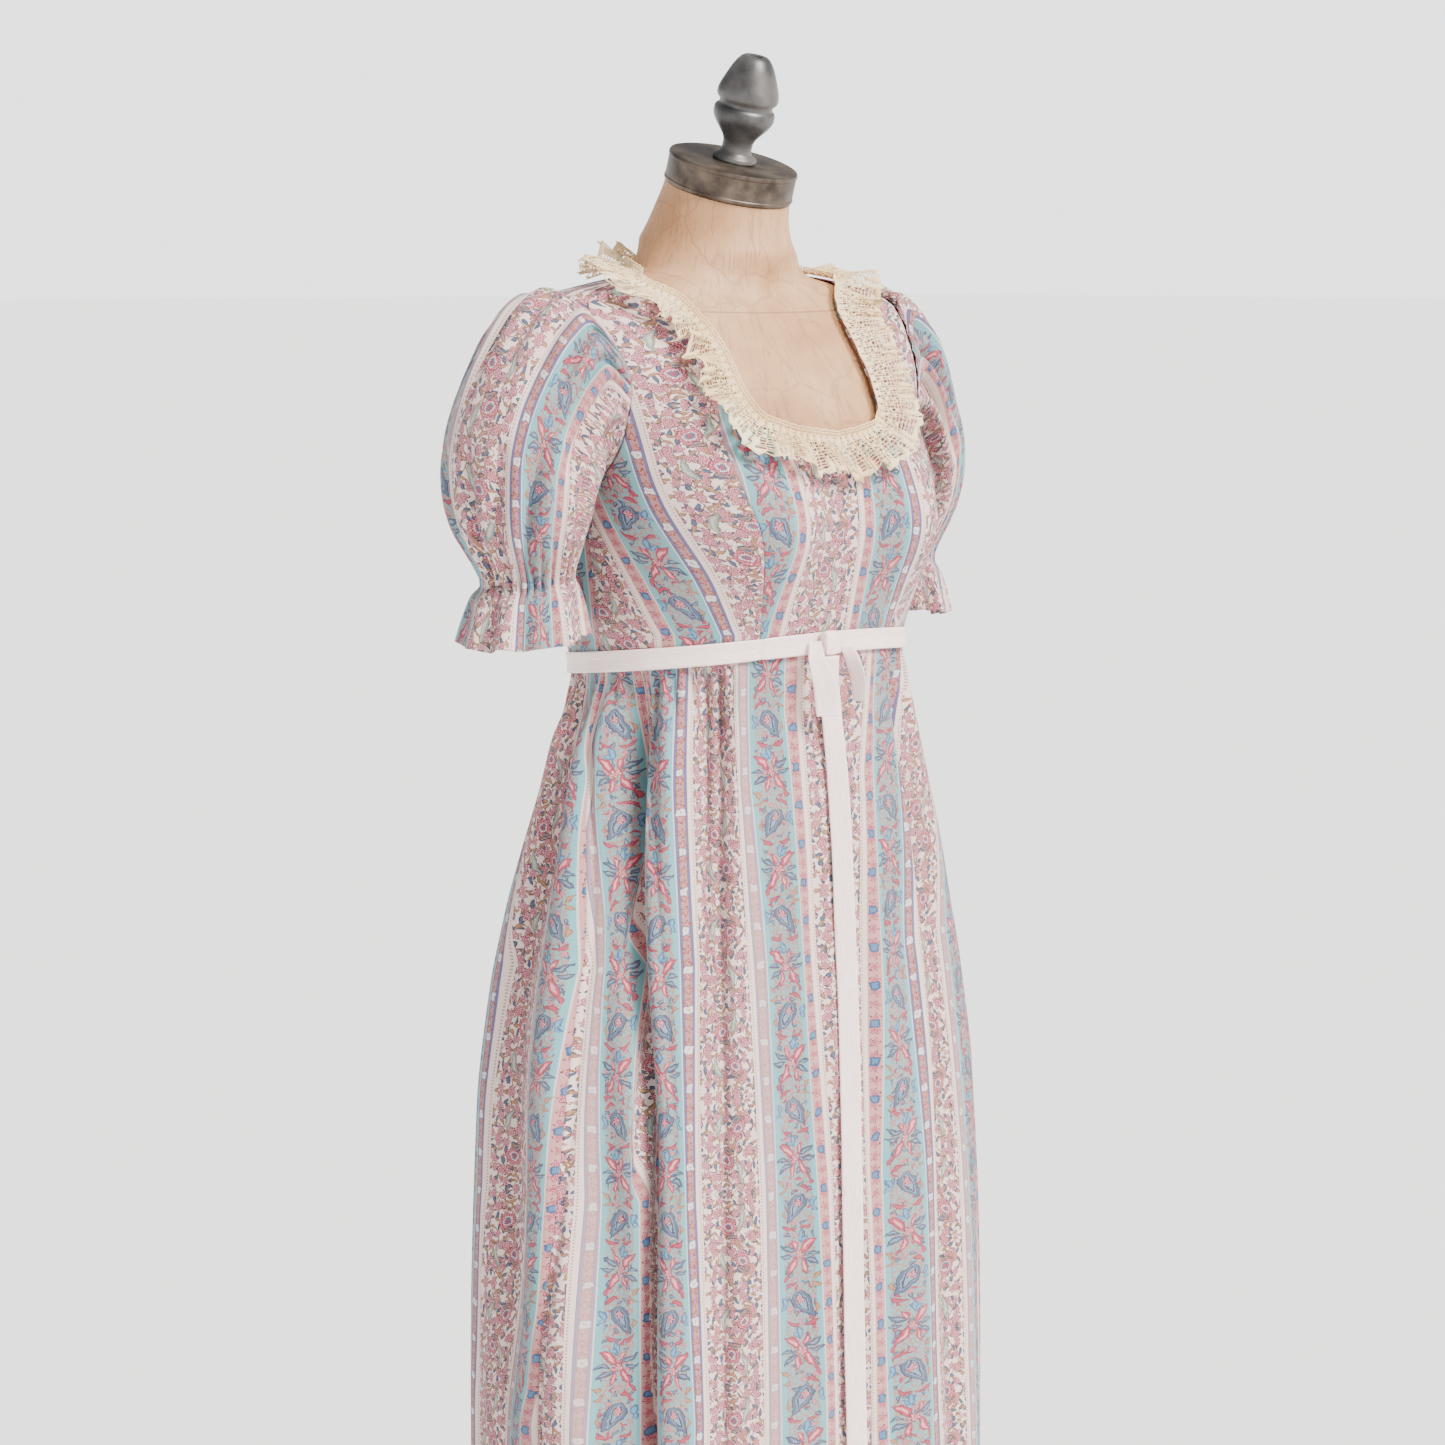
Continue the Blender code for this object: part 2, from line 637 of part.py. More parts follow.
def sleeve_head(side):
    """Two rings of the sleeve's head: inside the armhole edge, then standing up off the seam."""
    corners = []
    for strip in range(2 * ARMHOLE_STRIPS):
        front = strip > ARMHOLE_STRIPS
        share = abs(1.0 - strip / ARMHOLE_STRIPS)
        turn, height = armhole_point(share, front)
        corners.append((on_bodice(side * turn, height), form_normal(side * turn, height)))
    ring, outs = [], []
    for number, (point, out) in enumerate(corners):
        next_point, next_out = corners[(number + 1) % len(corners)]
        for step in range(HEAD_STEPS):
            share = step / HEAD_STEPS
            ring.append(point.lerp(next_point, share))
            outs.append(out.lerp(next_out, share).normalized())
    middle = sum(ring, Vector()) / len(ring)
    sewn, standing = [], []
    for number, (point, out) in enumerate(zip(ring, outs)):
        along = ring[(number + 1) % len(ring)] - ring[number - 1]
        inward = along.cross(out).normalized()
        if inward.dot(middle - point) < 0.0:
            inward = -inward
        sewn.append(point + inward * (0.5 * CLOTH + 1.5 * SEAM_GAP))
        standing.append(point + inward * (0.5 * CLOTH + 3.0 * SEAM_GAP) + out * HEAD_STAND)
    return [sewn, standing]


def build_sleeve(side_name, side, reach):
    """A puff sleeve: gathered head, full puff, gathered over elastic, and a short flounce."""
    rows = sleeve_head(side)
    count = len(rows[0])
    body = SLEEVE_ROWS[0][2]
    for outer_x, outer_z, inner_x, inner_z, middle, half_depth, gather in SLEEVE_ROWS:
        outer = Vector((body + (outer_x - body) * reach, middle, outer_z))
        inner = Vector((inner_x, middle, inner_z))
        centre = 0.5 * (outer + inner)
        spoke = outer - centre
        depth = half_depth * (0.5 + 0.5 * reach)
        row = []
        for column in range(count):
            angle = math.tau * column / count
            ripple = gather * MM * math.cos(math.tau * column / HEAD_STEPS)
            swell = 1.0 + ripple / half_depth
            point = centre + spoke * (math.cos(angle) * swell)
            point.y += depth * math.sin(angle) * swell
            point.x *= side
            row.append(point)
        rows.append(row)
    cloth_piece("sleeve_" + side_name, rows, CLOTH, PRINT_AQUA, ring=True)


def fold_depth(turn, share):
    """Depth of the skirt's folds at a turn, a share of the way from waist to hem."""
    total = 0.0
    for at_waist, at_hem, spread, waist_mm, knee_mm, hem_mm in FOLDS:
        middle = at_waist + (at_hem - at_waist) * smooth(share)
        away = (turn - middle + 180.0) % 360.0 - 180.0
        if abs(away) > 2.0 * spread:
            continue
        if share < KNEE_SHARE:
            depth = waist_mm + (knee_mm - waist_mm) * smooth(share / KNEE_SHARE)
        else:
            depth = knee_mm + (hem_mm - knee_mm) * smooth((share - KNEE_SHARE) / (1.0 - KNEE_SHARE))
        total += depth * MM * 0.5 * (1.0 + math.cos(math.pi * away / (2.0 * spread)))
    return total


def gather_depth(turn, drop):
    """Small gathers under the waist seam, away from the flat centre front."""
    side = smooth((abs(turn) - FLAT_FRONT) / 6.0)
    tall = 0.5 + 1.6 * math.exp(-((drop - 0.035) / 0.045) ** 2)
    return side * tall * MM * math.cos(math.tau * turn / GATHER_STEP)


def skirt_reach(turn, height):
    """The skirt's distance from the axis, before its folds and gathers."""
    top = waist_line(turn)
    half, front, back = read_table(SKIRT_ROWS, height)
    hanging = ring_reach(math.radians(turn), half, front, back, SKIRT_POWER)
    sewn = on_bodice(turn, top).xy.length
    return sewn + (hanging - sewn) * smooth((top - height) / 0.060)


def off_axis(turn, reach, height):
    """A point at a distance from the axis."""
    angle = math.radians(turn)
    return Vector((reach * math.sin(angle), -reach * math.cos(angle), height))


def on_skirt(turn, height, lift=0.0):
    """A point in the middle of the skirt's cloth, moved out by a lift."""
    top = waist_line(turn)
    drop = max(0.0, top - height)
    share = drop / (top - HEM_HEIGHT)
    depth = fold_depth(turn, share) * smooth(drop / 0.050) + gather_depth(turn, drop)
    return off_axis(turn, skirt_reach(turn, height) + depth + lift, height)


def skirt_turns(first, last):
    """Turns for the skirt's columns: wide apart on the flat front, close on the gathers."""
    fine = GATHER_STEP / 4.0
    turns = [first]
    turn = first
    while turn < last - 1e-6:
        turn += fine if abs(turn + 0.5 * fine) > FLAT_FRONT - 0.1 else 3.0 * fine
        turns.append(min(turn, last))
    return turns


def build_skirt_panel(name, first, last):
    """One skirt panel, from side seam to side seam."""
    edge = math.degrees(0.5 * SEAM_GAP / 0.14)
    turns = skirt_turns(first, last)
    turns[0] += edge
    turns[-1] -= edge
    skins = []
    for lift in (0.5 * CLOTH, -0.5 * CLOTH):
        grid = []
        for share in reversed(SKIRT_DROPS):
            row = []
            for turn in turns:
                top = waist_line(turn) - 0.5 * SEAM_GAP
                row.append(on_skirt(turn, top + (HEM_HEIGHT - top) * share, lift))
            grid.append(row)
        skins.append(grid)
    wall_piece(name, skins[0], skins[1], PRINT_ROSE)


def build_lace():
    """The gathered crochet lace sewn round the neck edge, open at the centre back."""
    per_wave = 4
    columns = LACE_WAVES * per_wave
    gap = math.degrees(SEAM_GAP / 0.06)
    span = 180.0 - gap
    widths = (0.0, 1.0)
    # Even steps along the edge, from equal lengths of a fine walk round it
    walk = [-span + 2.0 * span * step / 720 for step in range(721)]
    points = [on_bodice(turn, neck_height(turn)) for turn in walk]
    lengths = [0.0]
    for first, second in zip(points, points[1:]):
        lengths.append(lengths[-1] + (second - first).length)
    turns = []
    step = 0
    for column in range(columns + 1):
        wanted = lengths[-1] * column / columns
        while step < len(lengths) - 2 and lengths[step + 1] < wanted:
            step += 1
        share = (wanted - lengths[step]) / (lengths[step + 1] - lengths[step])
        turns.append(walk[step] + (walk[step + 1] - walk[step]) * share)
    rows = [[] for _ in widths]
    seat = 0.5 * CLOTH + SEAM_GAP + 0.5 * CLOTH
    for column, turn in enumerate(turns):
        height = neck_height(turn)
        here = on_bodice(turn, height, seat)
        ahead = on_bodice(turn + 0.5, neck_height(min(180.0, turn + 0.5)), seat)
        behind = on_bodice(turn - 0.5, neck_height(max(-180.0, turn - 0.5)), seat)
        along = (ahead - behind).normalized()
        out = form_normal(turn, height)
        away = along.cross(out).normalized()
        inside = Vector((0.0, 0.02, 1.40))
        if away.dot(here - inside) < 0.0:
            away = -away
        stand = math.radians(read_table(LACE_STAND, abs(turn))[0])
        spread = away * math.cos(stand) + out * math.sin(stand)
        ruffle = out * math.cos(stand) - away * math.sin(stand)
        wave = math.cos(math.tau * column / per_wave)
        for row, width in zip(rows, widths):
            row.append(here + spread * (LACE_WIDTH * width) + ruffle * (wave * 5.0 * MM * width))
    cloth_piece("neckline_lace", rows, CLOTH, LACE_CREAM, 0.9)


def build_band():
    """The ribbon round the raised waist."""
    columns = 48
    rows = [[], [], []]
    for column in range(columns):
        turn = 360.0 * column / columns - 180.0
        seam = waist_line(turn)
        upper = on_bodice(turn, seam + 0.5 * RIBBON_WIDTH)
        lower = skirt_reach(turn, seam - 0.5 * RIBBON_WIDTH)
        middle = skirt_reach(turn, seam)
        levels = (upper.z, seam, seam - 0.5 * RIBBON_WIDTH)
        reaches = (upper.xy.length, middle, lower)
        for row, level, reach, lift in zip(rows, levels, reaches, BAND_LIFTS):
            row.append(off_axis(turn, reach + lift, level))
    cloth_piece("ribbon_band", rows, RIBBON_CLOTH, RIBBON_PINK, 0.5, ring=True)


def front_lift(x, height, lift):
    """A point off the front of the skirt, above a given x."""
    turn = math.degrees(math.asin(max(-0.9, min(0.9, x / 0.11))))
    point = on_skirt(turn, min(height, waist_line(turn)), 0.0)
    return Vector((x, point.y - lift, height))


def build_knot():
    """The knot of the bow, on the band at the centre front."""
    size = Vector((0.018, 0.0085, 0.0185))
    seam = waist_line(0.0)
    turn = math.degrees(KNOT_X / 0.106)
    band_face = off_axis(turn, skirt_reach(turn, seam) + BAND_LIFTS[2] + 0.5 * RIBBON_CLOTH, seam).y
    middle = Vector((KNOT_X, band_face - 2.0 * SEAM_GAP - 0.5 * size.y, seam))
    bm = bmesh.new()
    bmesh.ops.create_cube(bm, size=1.0)
    bmesh.ops.scale(bm, vec=size, verts=bm.verts)
    bmesh.ops.bevel(bm, geom=bm.edges[:], offset=0.0032, offset_type="OFFSET", segments=2,
                    profile=0.5, affect="EDGES", material=-1)
    bmesh.ops.translate(bm, vec=middle, verts=bm.verts)
    mesh = bpy.data.meshes.new("ribbon_knot")
    bm.to_mesh(mesh)
    bm.free()
    finish("ribbon_knot", mesh, RIBBON_PINK, 0.5)


def build_ribbon_end(name, table):
    """A free end of ribbon hanging below the knot."""
    left, middle, right = [], [], []
    for x, height, lift, width, twist in table:
        place = front_lift(x, height, lift)
        angle = math.radians(twist)
        across = Vector((math.cos(angle), math.sin(angle), 0.0)) * (0.5 * width)
        left.append(place - across)
        middle.append(place)
        right.append(place + across)
    cloth_piece(name, [left, middle, right], RIBBON_CLOTH, RIBBON_PINK, 0.5)


neck_top, neck_axis = build_torso()
build_neck_metal(neck_top, neck_axis)
build_stand()
build_centre_front()
for side_name, side, reach in SLEEVES:
    build_side_front(side_name, side)
    build_back(side_name, side)
    build_sleeve(side_name, side, reach)
build_skirt_panel("skirt_front", -SKIRT_SEAM, SKIRT_SEAM)
build_skirt_panel("skirt_back", SKIRT_SEAM, 360.0 - SKIRT_SEAM)
build_lace()
build_band()
build_knot()
build_ribbon_end("ribbon_tail_long", LONG_TAIL)
build_ribbon_end("ribbon_end_short", SHORT_END)
build_ribbon_end("ribbon_loop_right", LOOPED_END)
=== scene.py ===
"""Looks of a prairie dress on a limbless dress form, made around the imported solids.

Run inside Blender. Metres, +Z up; the wearer faces -Y and the wearer's left is +X.
"""
import math

import bmesh
import bpy
import numpy as np
from mathutils import Matrix, Vector


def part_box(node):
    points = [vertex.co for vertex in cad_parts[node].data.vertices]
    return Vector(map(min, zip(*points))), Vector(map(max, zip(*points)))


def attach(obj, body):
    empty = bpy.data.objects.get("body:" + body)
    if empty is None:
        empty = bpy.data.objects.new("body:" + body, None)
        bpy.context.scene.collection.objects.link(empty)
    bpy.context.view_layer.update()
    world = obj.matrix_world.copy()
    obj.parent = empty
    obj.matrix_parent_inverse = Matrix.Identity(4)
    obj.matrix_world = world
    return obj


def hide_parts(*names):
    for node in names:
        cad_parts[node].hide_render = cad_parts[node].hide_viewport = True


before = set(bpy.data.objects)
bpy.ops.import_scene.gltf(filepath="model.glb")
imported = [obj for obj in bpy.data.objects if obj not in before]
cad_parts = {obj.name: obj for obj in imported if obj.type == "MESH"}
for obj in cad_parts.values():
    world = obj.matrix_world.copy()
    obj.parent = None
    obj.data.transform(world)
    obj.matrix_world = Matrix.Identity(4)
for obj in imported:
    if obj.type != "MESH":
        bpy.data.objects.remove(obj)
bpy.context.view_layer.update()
MM = 0.001

# The viewpoint: a long lens a little above the waist, to the front and the wearer's right,
# as a shop takes a whole garment on its form.
LENS_AIM = Vector((-0.007, 0.0066, 1.065))
lens_data = bpy.data.cameras.new("shop_camera")
lens_data.sensor_width = 36.0
lens_data.lens = 97.16
camera = bpy.data.objects.new("shop_camera", lens_data)
bpy.context.collection.objects.link(camera)
camera.location = (-2.053, -2.1864, 1.42)
camera.rotation_euler = (LENS_AIM - camera.location).to_track_quat("-Z", "Y").to_euler()
bpy.context.scene.camera = camera


# The papered torso: papier-mache pressed in a mould, brown kraft paper in torn pieces pasted
# over it and polished by handling. It is limbless, and its neck leans a little forward.
# Up the form: height, half width, front, back, middle, and how square the oval is
FORM_ROWS = (
    (0.720, 0.146, -0.092, 0.104, 0.000, 2.2),
    (0.780, 0.160, -0.098, 0.110, 0.000, 2.2),
    (0.860, 0.165, -0.100, 0.112, 0.000, 2.2),
    (0.940, 0.157, -0.097, 0.106, 0.000, 2.2),
    (1.000, 0.136, -0.090, 0.094, 0.000, 2.3),
    (1.045, 0.123, -0.087, 0.088, 0.000, 2.3),
    (1.090, 0.125, -0.093, 0.092, 0.000, 2.3),
    (1.130, 0.135, -0.1025, 0.101, 0.000, 2.3),
    (1.180, 0.142, -0.113, 0.105, 0.000, 2.4),
    (1.222, 0.147, -0.120, 0.109, 0.000, 2.4),
    (1.260, 0.152, -0.116, 0.112, 0.002, 2.4),
    (1.285, 0.157, -0.107, 0.112, 0.004, 2.3),
    (1.320, 0.170, -0.090, 0.109, 0.007, 2.2),
    (1.345, 0.182, -0.075, 0.104, 0.010, 2.1),
    (1.365, 0.187, -0.060, 0.098, 0.014, 2.0),
    (1.382, 0.178, -0.046, 0.091, 0.018, 2.0),
    (1.394, 0.155, -0.037, 0.084, 0.020, 2.0),
    (1.401, 0.120, -0.034, 0.080, 0.021, 2.0),
    (1.407, 0.086, -0.034, 0.077, 0.022, 2.0),
    (1.415, 0.071, -0.036, 0.0765, 0.023, 2.0),
    (1.425, 0.0645, -0.039, 0.0765, 0.0235, 2.0),
)
BUST_SIDE = 0.090
BUST_LEVEL = 1.222
BUST_SPREAD = 0.050
BUST_RISE = 27 * MM
NECK_FOOT = Vector((0.0, 0.0215, 1.432))
NECK_LEAN = 17.6
# Up the neck: way along its axis, radius, lean in degrees
NECK_ROWS = (
    (0.0000, 0.0605, 5.0),
    (0.0120, 0.0555, 10.0),
    (0.0240, 0.0520, 15.0),
    (0.0345, 0.0497, 17.0),
    (0.0434, 0.0485, 17.6),
)
# The join's height on the axis; it rises backwards
NECK_JOIN = 1.3905
# Share of the torso's grid that lies under the neck
TORSO_SHARE = 0.90
KRAFT_BASE = "#BA8C62"
KRAFT_DEEP = "#A0714A"
KRAFT_LIGHT = "#CDA680"
# The dark brown of torn edges and the neck's join, also used as painted shade in the paper's
# wrinkles
KRAFT_EDGE_AND_SHADE = "#6E4628"


def ease(share):
    """Smooth step of an array from nought to one."""
    share = np.clip(share, 0.0, 1.0)
    return share * share * (3.0 - 2.0 * share)


def read_rows(table, place):
    """Smooth columns of a table, without overshoot, at places along its first column."""
    rows = np.array(table, float)
    place = np.clip(np.asarray(place, float), rows[0, 0], rows[-1, 0])
    width = np.diff(rows[:, 0])[:, None]
    rise = np.diff(rows[:, 1:], axis=0) / width
    both = rise[:-1] * rise[1:]
    total = rise[:-1] + rise[1:]
    inner = np.where(both > 0.0, 2.0 * both / np.where(both > 0.0, total, 1.0), 0.0)
    slope = np.vstack((rise[:1], inner, rise[-1:]))
    row = np.clip(np.searchsorted(rows[:, 0], place, side="left") - 1, 0, len(rows) - 2)
    gap = width[row, 0]
    t = ((place - rows[row, 0]) / gap)[..., None]
    gap = gap[..., None]
    return (
        (2 * t**3 - 3 * t**2 + 1) * rows[row, 1:]
        + (t**3 - 2 * t**2 + t) * gap * slope[row]
        + (3 * t**2 - 2 * t**3) * rows[row + 1, 1:]
        + (t**3 - t**2) * gap * slope[row + 1]
    )


def oval_reach(turn, half, front, back, power):
    """Distance from the axis to a rounded oval, in the direction of a turn in degrees."""
    angle = np.radians(turn)
    sine, cosine = np.abs(np.sin(angle)), np.cos(angle)
    depth = np.where(cosine > 0.0, front, back)
    return ((sine / half) ** power + (np.abs(cosine) / depth) ** power) ** (-1.0 / power)


def form_skin(turn, height):
    """Points on the form's surface."""
    turn, height = np.broadcast_arrays(np.asarray(turn, float), np.asarray(height, float))
    half, front, back, middle, power = np.moveaxis(read_rows(FORM_ROWS, height), -1, 0)
    angle = np.radians(turn)
    reach = oval_reach(turn, half, middle - front, back - middle, power)
    x = reach * np.sin(angle)
    y = middle - reach * np.cos(angle)
    aside = (np.abs(x) - BUST_SIDE) / BUST_SPREAD
    above = (height - BUST_LEVEL) / BUST_SPREAD
    y = y - BUST_RISE * np.exp(-(aside**2) - above**2) * np.maximum(0.0, np.cos(angle))
    return np.stack((x, y, height), axis=-1)


def add_piece(bm, name, sharp_from=None):
    """Make a bmesh a smooth-shaded object, with edges sharp from an angle in degrees."""
    mesh = bpy.data.meshes.new(name)
    bm.to_mesh(mesh)
    bm.free()
    mesh.shade_smooth()
    if sharp_from is not None:
        mesh.set_sharp_from_angle(angle=math.radians(sharp_from))
    obj = bpy.data.objects.new(name, mesh)
    bpy.context.collection.objects.link(obj)
    return obj


def fine_sheet(name, columns, rows, place, print_place=None, closed=False):
    """A fine grid put where place(across, up) says, with its own cut laid flat as its UV map.

    across and up run from nought to one; print_place gives metres across and along the cloth.
    """
    bm = bmesh.new()
    bmesh.ops.create_grid(bm, x_segments=columns, y_segments=rows, size=0.5)
    share = np.array([vert.co.xy for vert in bm.verts]) + 0.5
    points = place(share[:, 0], share[:, 1])
    if print_place is not None:
        flat = print_place(share[:, 0], share[:, 1])
        layer = bm.loops.layers.uv.new("cut")
        bm.verts.index_update()
        for face in bm.faces:
            for loop in face.loops:
                loop[layer].uv = flat[loop.vert.index]
    for vert, point in zip(bm.verts, points):
        vert.co = point
    if closed:
        bmesh.ops.remove_doubles(bm, verts=bm.verts, dist=0.02 * MM)
    bmesh.ops.recalc_face_normals(bm, faces=bm.faces)
    return add_piece(bm, name)


def new_finish(name):
    """A new material, its node tree and its surface shader."""
    material = bpy.data.materials.new(name)
    material.use_nodes = True
    tree = material.node_tree
    return material, tree, tree.nodes["Principled BSDF"]


def dye(text):
    """A colour from its sRGB hex value."""
    parts = [int(text[place:place + 2], 16) / 255.0 for place in (1, 3, 5)]
    linear = [(p / 12.92 if p <= 0.04045 else ((p + 0.055) / 1.055) ** 2.4) for p in parts]
    return (*linear, 1.0)


def feed(node, sockets):
    """Set a node's inputs to values, or link them to other nodes' outputs."""
    for key, value in sockets.items():
        if isinstance(value, bpy.types.NodeSocket):
            node.id_data.links.new(value, node.inputs[key])
        else:
            node.inputs[key].default_value = value


def add(tree, kind, sockets=None, out=0, **settings):
    """Add a node with its settings; sockets hold values or other nodes' outputs."""
    node = tree.nodes.new("ShaderNode" + kind)
    for setting, value in settings.items():
        setattr(node, setting, value)
    feed(node, sockets or {})
    return node.outputs[out]


def set_stops(ramp, *stops):
    """Put colours along a new colour ramp, which has two stops already."""
    elements = ramp.node.color_ramp.elements
    for number, (spot, colour) in enumerate(stops):
        stop = elements[number] if number < 2 else elements.new(spot)
        stop.position = spot
        stop.color = colour


def settle(obj, material, node=None):
    """Give a piece its material, its body and the solid it stands for."""
    obj.data.materials.append(material)
    if node is not None:
        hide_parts(node)
    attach(obj, "root")


def torso_place(across, up):
    """The torso, then the neck above a share of the way up."""
    turn = 360.0 * across - 180.0
    foot, top = FORM_ROWS[0][0], FORM_ROWS[-1][0]
    height = foot + (top - foot) * np.clip(up / TORSO_SHARE, 0.0, 1.0)
    points = form_skin(turn, height)
    along = NECK_ROWS[-1][0] * np.clip((up - TORSO_SHARE) / (1.0 - TORSO_SHARE), 0.0, 1.0)
    radius, lean = np.moveaxis(read_rows(NECK_ROWS, along), -1, 0)
    tilt = np.radians(lean)
    leaning = math.radians(NECK_LEAN)
    angle = np.radians(turn)
    ring_x = radius * np.sin(angle)
    ring_y = -radius * np.cos(angle) * np.cos(tilt)
    ring_z = -radius * np.cos(angle) * np.sin(tilt)
    neck = np.stack((
        NECK_FOOT.x + ring_x,
        NECK_FOOT.y - math.sin(leaning) * along + ring_y,
        NECK_FOOT.z + math.cos(leaning) * along + ring_z,
    ), axis=-1)
    return np.where((up > TORSO_SHARE)[:, None], neck, points)


torso = fine_sheet("papered_torso", 200, 220, torso_place, closed=True)
torso_bm = bmesh.new()
torso_bm.from_mesh(torso.data)
rim = [edge for edge in torso_bm.edges if edge.is_boundary]
bmesh.ops.holes_fill(torso_bm, edges=rim, sides=0)
bmesh.ops.recalc_face_normals(torso_bm, faces=torso_bm.faces)
torso_bm.to_mesh(torso.data)
torso_bm.free()
torso.data.set_sharp_from_angle(angle=math.radians(50))

kraft, tree, paper = new_finish("pasted_kraft_paper")
place = add(tree, "TexCoord", out=3)
mottle = add(tree, "TexNoise", {"Vector": place, "Scale": 13.0, "Detail": 7.0, "Roughness": 0.62})
shade = add(tree, "ValToRGB", {"Fac": mottle})
set_stops(shade, (0.30, dye(KRAFT_DEEP)), (0.72, dye(KRAFT_LIGHT)), (0.50, dye(KRAFT_BASE)))
# Torn edges of the pasted pieces, some 60 mm across, wander and show a shade darker
swirl = add(tree, "TexNoise", {"Vector": place, "Scale": 22.0, "Detail": 3.0}, out=1)
swirl = add(tree, "VectorMath", {0: swirl, 1: (0.035, 0.035, 0.035)}, operation="MULTIPLY")
torn = add(tree, "VectorMath", {0: place, 1: swirl}, operation="ADD")
torn = add(tree, "TexVoronoi", {"Vector": torn, "Scale": 17.0}, feature="DISTANCE_TO_EDGE")
torn_edge = add(tree, "MapRange", {"Value": torn, "From Min": 0.0, "From Max": 0.022,
                                   "To Min": 0.30, "To Max": 0.0})
# Fine wrinkles run down from the neck, as the wet paper shrank; the bump dents them, and their
# darker colour is painted shade
around = add(tree, "SeparateXYZ", {"Vector": place}).node
behind = add(tree, "Math", {0: around.outputs[1], 1: -0.02}, operation="ADD")
bearing = add(tree, "Math", {0: around.outputs[0], 1: behind}, operation="ARCTAN2")
far = add(tree, "Math", {0: around.outputs[2], 1: 9.0}, operation="MULTIPLY")
fan = add(tree, "Math", {0: bearing, 1: 7.0}, operation="MULTIPLY")
fan = add(tree, "CombineXYZ", {0: fan, 1: far, 2: bearing})
shrunk = add(tree, "TexNoise", {"Vector": fan, "Scale": 1.1, "Detail": 5.0, "Distortion": 0.5})
shrunk = add(tree, "Math", {0: shrunk, 1: 0.5}, operation="SUBTRACT")
shrunk = add(tree, "Math", {0: shrunk}, operation="ABSOLUTE")
wrinkle_painted_shade = add(tree, "MapRange", {"Value": shrunk, "From Min": 0.0, "From Max": 0.012,
                                 "To Min": 0.38, "To Max": 0.0})
# The join of the neck to the shoulders shows as a thin dark line
tilted = add(tree, "Math", {0: around.outputs[1], 1: -0.20, 2: around.outputs[2]},
             operation="MULTIPLY_ADD")
join = add(tree, "Math", {0: tilted, 1: NECK_JOIN, 2: 0.5 * MM}, operation="COMPARE")
join = add(tree, "Math", {0: join, 1: 0.45}, operation="MULTIPLY")
# Torn edges and the join are darker paper; the darkening along the wrinkles is painted shade
edges_joins_and_wrinkle_shade = add(tree, "Math", {0: torn_edge, 1: wrinkle_painted_shade}, operation="MAXIMUM")
edges_joins_and_wrinkle_shade = add(tree, "Math", {0: edges_joins_and_wrinkle_shade, 1: join}, operation="MAXIMUM")
brown = add(tree, "Mix", {0: edges_joins_and_wrinkle_shade, 6: shade, 7: dye(KRAFT_EDGE_AND_SHADE)}, out=2, data_type="RGBA")
fleck = add(tree, "TexNoise", {"Vector": place, "Scale": 260.0, "Detail": 4.0})
fibre = add(tree, "Math", {0: edges_joins_and_wrinkle_shade, 1: -3.0, 2: fleck}, operation="MULTIPLY_ADD")
rough = add(tree, "Bump", {"Height": fibre, "Strength": 0.5, "Distance": 0.35 * MM})
feed(paper, {"Base Color": brown, "Normal": rough, "Roughness": 0.6})
settle(torso, kraft, "form_torso")


# The neck's metal: a cast bronze cap as wide as the neck, browned and worn at its rims, and
# an acorn finial of cast zinc with a sunk screw hole, screwed down through the cap.
CAP_THICK = 23.5 * MM
METAL_GAP = 0.3 * MM
# Profiles to turn: radius and height in mm
CAP_PROFILE = (
    (0.0, 0.0), (47.0, 0.0), (49.4, 0.5), (50.0, 1.5), (50.0, 3.2), (49.5, 3.8), (49.5, 19.6),
    (50.0, 20.2), (50.0, 21.8), (49.4, 23.0), (48.0, 23.5), (24.0, 23.5), (0.0, 23.5),
)
ACORN_PROFILE = (
    (0.0, 0.0), (16.4, 0.0), (16.8, 0.5), (16.8, 3.0), (16.2, 3.8), (12.6, 5.6), (11.6, 7.5),
    (11.4, 11.0), (11.6, 15.0), (13.0, 18.4), (16.0, 22.4), (20.0, 27.4), (22.6, 31.6),
    (23.5, 34.6), (23.5, 38.6), (22.6, 40.6), (20.8, 42.0), (20.4, 43.6), (20.9, 45.4),
    (22.9, 47.4), (23.7, 49.2), (23.6, 52.6), (22.6, 56.6), (20.6, 61.8), (18.2, 67.6),
    (16.0, 72.4), (13.6, 76.4), (11.0, 79.6), (8.8, 81.0), (6.4, 81.0), (5.4, 80.4), (5.0, 77.0),
    (0.0, 76.6),
)
LATHE_STEPS = 96
RIM_ANGLE = 38


def turned_piece(name, profile_mm, foot, lean):
    """A piece turned on a lathe from (radius, height) pairs, about an axis that may lean."""
    bm = bmesh.new()
    line = [bm.verts.new((radius * MM, 0.0, height * MM)) for radius, height in profile_mm]
    edges = [bm.edges.new(pair) for pair in zip(line, line[1:])]
    bmesh.ops.spin(bm, geom=line + edges, cent=(0.0, 0.0, 0.0), axis=(0.0, 0.0, 1.0),
                   angle=math.tau, steps=LATHE_STEPS, use_merge=True)
    bmesh.ops.remove_doubles(bm, verts=bm.verts, dist=0.01 * MM)
    bmesh.ops.recalc_face_normals(bm, faces=bm.faces)
    place = Matrix.Translation(foot) @ Matrix.Rotation(math.radians(lean), 4, "X")
    bmesh.ops.transform(bm, matrix=place, verts=bm.verts)
    return add_piece(bm, name, sharp_from=RIM_ANGLE)
